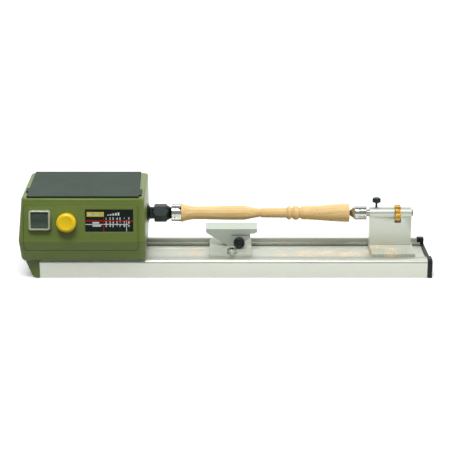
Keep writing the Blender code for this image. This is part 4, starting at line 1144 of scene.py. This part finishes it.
@dataclass
class Tailstock:
    """The tailstock's plate and column, its quill and the live centre."""

    edge: float = 0.5

    def build(self) -> None:
        """Make the tailstock's pieces."""
        copy_of("tailstock_base", "tail_plate", "tailstock", "cast_aluminium", CAST_DUSTY, self.edge)
        copy_of("tailstock_column", "column", "tailstock", "cast_aluminium", COLUMN, 0.4)
        repaint("tailstock_slot_nut", STEEL)
        line = centre_of("quill")
        at = Vector((0, line.y, line.z))
        self.make_quill(at)
        self.make_nut(at)
        self.make_centre(at)
        self.make_lock_screw()

    def make_quill(self, at: Vector) -> None:
        """Make the quill with its threaded stretch under the nut."""
        left, right = low_of("quill").x, high_of("quill").x
        profile = Profile([(left, 0.0)]).line(left, 3.0).line(left + 0.4, 3.4)
        profile.line(191.8, 3.4).line(191.8, 4.7).line(192.1, 4.9).line(226.0, 4.9)
        pitch, crest, root = 1.25, 4.9, 4.3
        x = 226.0
        while x < right - 1.6:
            profile.line(x + pitch * 0.5, root).line(x + pitch, crest)
            x += pitch
        profile.line(right - 0.3, 4.6).line(right, 4.2).line(right, 0.0)
        spun(Piece("quill_rod", "quill", "steel", STEEL, ("quill",)), profile, at)

    def make_nut(self, at: Vector) -> None:
        """Make the brass adjusting nut with its knurled rim."""
        left, right = low_of("quill_nut").x, high_of("quill_nut").x
        profile = Profile([(left, 5.25)]).line(left, 10.2).line(left + 0.8, 10.95).line(left + 2.4, 10.95)
        middle = (left + right) / 2
        profile.line(middle, 10.95).line(right - 2.4, 10.95)
        profile.line(right - 0.8, 10.95).line(right, 10.2).line(right, 5.25)
        nut = Shop.turn(profile.points, "X", 180)
        Shop.knurl(nut, 60, 0.35, "X", lambda p: math.hypot(p.y, p.z) > 10.5)
        piece = Piece("brass_nut", "quill_nut", "brass", BRASS, ("quill_nut",))
        piece.from_bmesh(Shop.shift(nut, at))

    def make_centre(self, at: Vector) -> None:
        """Make the live centre: a ground cone on a body with two fine grooves."""
        tip, right = low_of("live_centre").x, high_of("live_centre").x
        profile = Profile([(tip + 0.1, 0.0)]).line(175.6, 9.3).line(176.1, 9.5).line(181.0, 9.5)
        for groove in (182.0, 188.2):
            profile.line(groove - 0.4, 9.5).line(groove - 0.2, 9.0).line(groove + 0.2, 9.0)
            profile.line(groove + 0.4, 9.5)
        profile.line(right - 0.5, 9.5).line(right, 9.0).line(right, 3.8).line(179.5, 3.8).line(179.5, 0.0)
        spun(Piece("centre", "live_centre", "chrome", CHROME, ("live_centre",)), profile, at)

    def make_lock_screw(self) -> None:
        """Make the thumb screw over the quill, with a knurled head."""
        low, high = low_of("quill_lock_screw"), high_of("quill_lock_screw")
        centre = centre_of("quill_lock_screw")
        tall = high.z - low.z
        head = tall - 6.1
        profile = Profile([(0.0, 0.0)]).line(0.0, 1.2).line(0.3, 1.5).line(head, 1.5).line(head, 4.9)
        profile.line(head + 0.7, 5.7).line(tall - 1.6, 5.7).line(tall - 0.8, 5.2)
        profile.sweep(tall, 4.0, 3).line(tall, 0.0)
        screw = Shop.turn(profile.points, "Z", 120)
        Shop.knurl(screw, 36, 0.35, "Z", lambda p: math.hypot(p.y, p.z) > 5.5)
        piece = Piece("thumb_screw", "quill_lock_screw", "black_steel", DARK_STEEL, ("quill_lock_screw",))
        piece.from_bmesh(Shop.shift(screw, (centre.x, centre.y, low.z)))


# ----------------------------------------------------------------------------
# Studio
# ----------------------------------------------------------------------------


@dataclass
class Lamp:
    """One soft rectangular light, which the camera doesn't see."""

    name: str
    at: tuple[float, float, float]
    aim: tuple[float, float, float]
    size: tuple[float, float]
    power: float

    def hang(self) -> None:
        """Put the light in the scene."""
        data = bpy.data.lights.new(self.name, "AREA")
        data.shape = "RECTANGLE"
        data.size, data.size_y = self.size
        data.energy = self.power
        lamp = bpy.data.objects.new(self.name, data)
        lamp.location = self.at
        heading = Vector(self.aim) - Vector(self.at)
        lamp.rotation_euler = heading.to_track_quat("-Z", "Y").to_euler()
        lamp.visible_camera = False
        bpy.context.scene.collection.objects.link(lamp)


@dataclass
class Studio:
    """Pale floor, soft light and the camera."""

    pitch: float = math.radians(18.0)
    distance: float = 2.1
    look_at: tuple[float, float, float] = (-0.002, 0.008, 0.05393)
    sensor: float = 36.0
    lens: float = 122.36
    sky: float = 0.36
    glow: float = 0.2

    def build(self) -> None:
        """Make the floor, the lights and the camera."""
        self.make_floor()
        self.make_camera()
        self.make_sky()
        bpy.context.scene.view_settings.view_transform = "Standard"
        for lamp in (
            Lamp("key", (-0.3, -1.1, 2.1), (0.0, 0.0, 0.05), (1.2, 0.7), 39.0),
            Lamp("rear", (0.0, 1.3, 1.5), (0.0, 0.45, 0.0), (2.4, 0.7), 12.0),
            Lamp("back", (0.0, 2.3, 0.9), (0.0, 0.0, 0.05), (3.2, 1.3), 9.0),
            Lamp("side", (1.7, -0.3, 0.8), (-0.1, 0.0, 0.06), (0.6, 0.9), 11.0),
        ):
            lamp.hang()

    def make_sky(self) -> None:
        """Make an even sky: white to the camera, dim to the machine, dark below the horizon."""
        world = bpy.data.worlds.new("studio")
        world.use_nodes = True
        tree = world.node_tree
        heading = tree.nodes.new("ShaderNodeTexCoord")
        split = tree.nodes.new("ShaderNodeSeparateXYZ")
        fade = tree.nodes.new("ShaderNodeMapRange")
        fade.inputs[2].default_value = 0.03
        fade.inputs[4].default_value = self.sky
        seen = tree.nodes.new("ShaderNodeLightPath")
        either = tree.nodes.new("ShaderNodeMath")
        either.operation = "MAXIMUM"
        backdrop = tree.nodes["Background"]
        backdrop.inputs[0].default_value = (1.0, 1.0, 1.0, 1.0)
        tree.links.new(heading.outputs[0], split.inputs[0])
        tree.links.new(split.outputs[2], fade.inputs[0])
        tree.links.new(fade.outputs[0], either.inputs[0])
        tree.links.new(seen.outputs[0], either.inputs[1])
        tree.links.new(either.outputs[0], backdrop.inputs[1])
        bpy.context.scene.world = world

    def make_floor(self) -> None:
        """Make a plain pale floor."""
        bm = bmesh.new()
        bmesh.ops.create_grid(bm, x_segments=1, y_segments=1, size=8.0)
        mesh = bpy.data.meshes.new("floor")
        bm.to_mesh(mesh)
        bm.free()
        floor = bpy.data.objects.new("floor", mesh)
        white = (0.95, 0.95, 0.95)
        paint = Sheet("floor_paint")
        mesh.materials.append(
            paint.coat(Base_Color=white, Roughness=0.9, Emission_Color=white, Emission_Strength=self.glow)
        )
        bpy.context.scene.collection.objects.link(floor)
        floor.visible_diffuse = False

    def make_camera(self) -> None:
        """Put the camera in front of the bed, looking down a little."""
        data = bpy.data.cameras.new("camera")
        data.sensor_width = self.sensor
        data.lens = self.lens
        data.clip_end = 20.0
        camera = bpy.data.objects.new("camera", data)
        back = Vector((0, -math.cos(self.pitch), math.sin(self.pitch)))
        camera.location = Vector(self.look_at) + back * self.distance
        camera.rotation_euler = (math.pi / 2 - self.pitch, 0, 0)
        bpy.context.scene.collection.objects.link(camera)
        bpy.context.scene.camera = camera


def clear() -> None:
    """Remove whatever the open file holds."""
    for old in list(bpy.data.objects):
        bpy.data.objects.remove(old, do_unlink=True)


def main() -> None:
    """Build the lathe's looks on its frame."""
    logging.basicConfig(level=logging.INFO, format="%(name)s: %(message)s")
    clear()
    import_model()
    Studio().build()
    for assembly in (Bed(), Headstock(), ControlPanel(), SpindleLine(), ToolRest(), Tailstock()):
        log.info("building %s", type(assembly).__name__)
        assembly.build()
    bpy.context.view_layer.update()


if __name__ == "__main__":
    main()
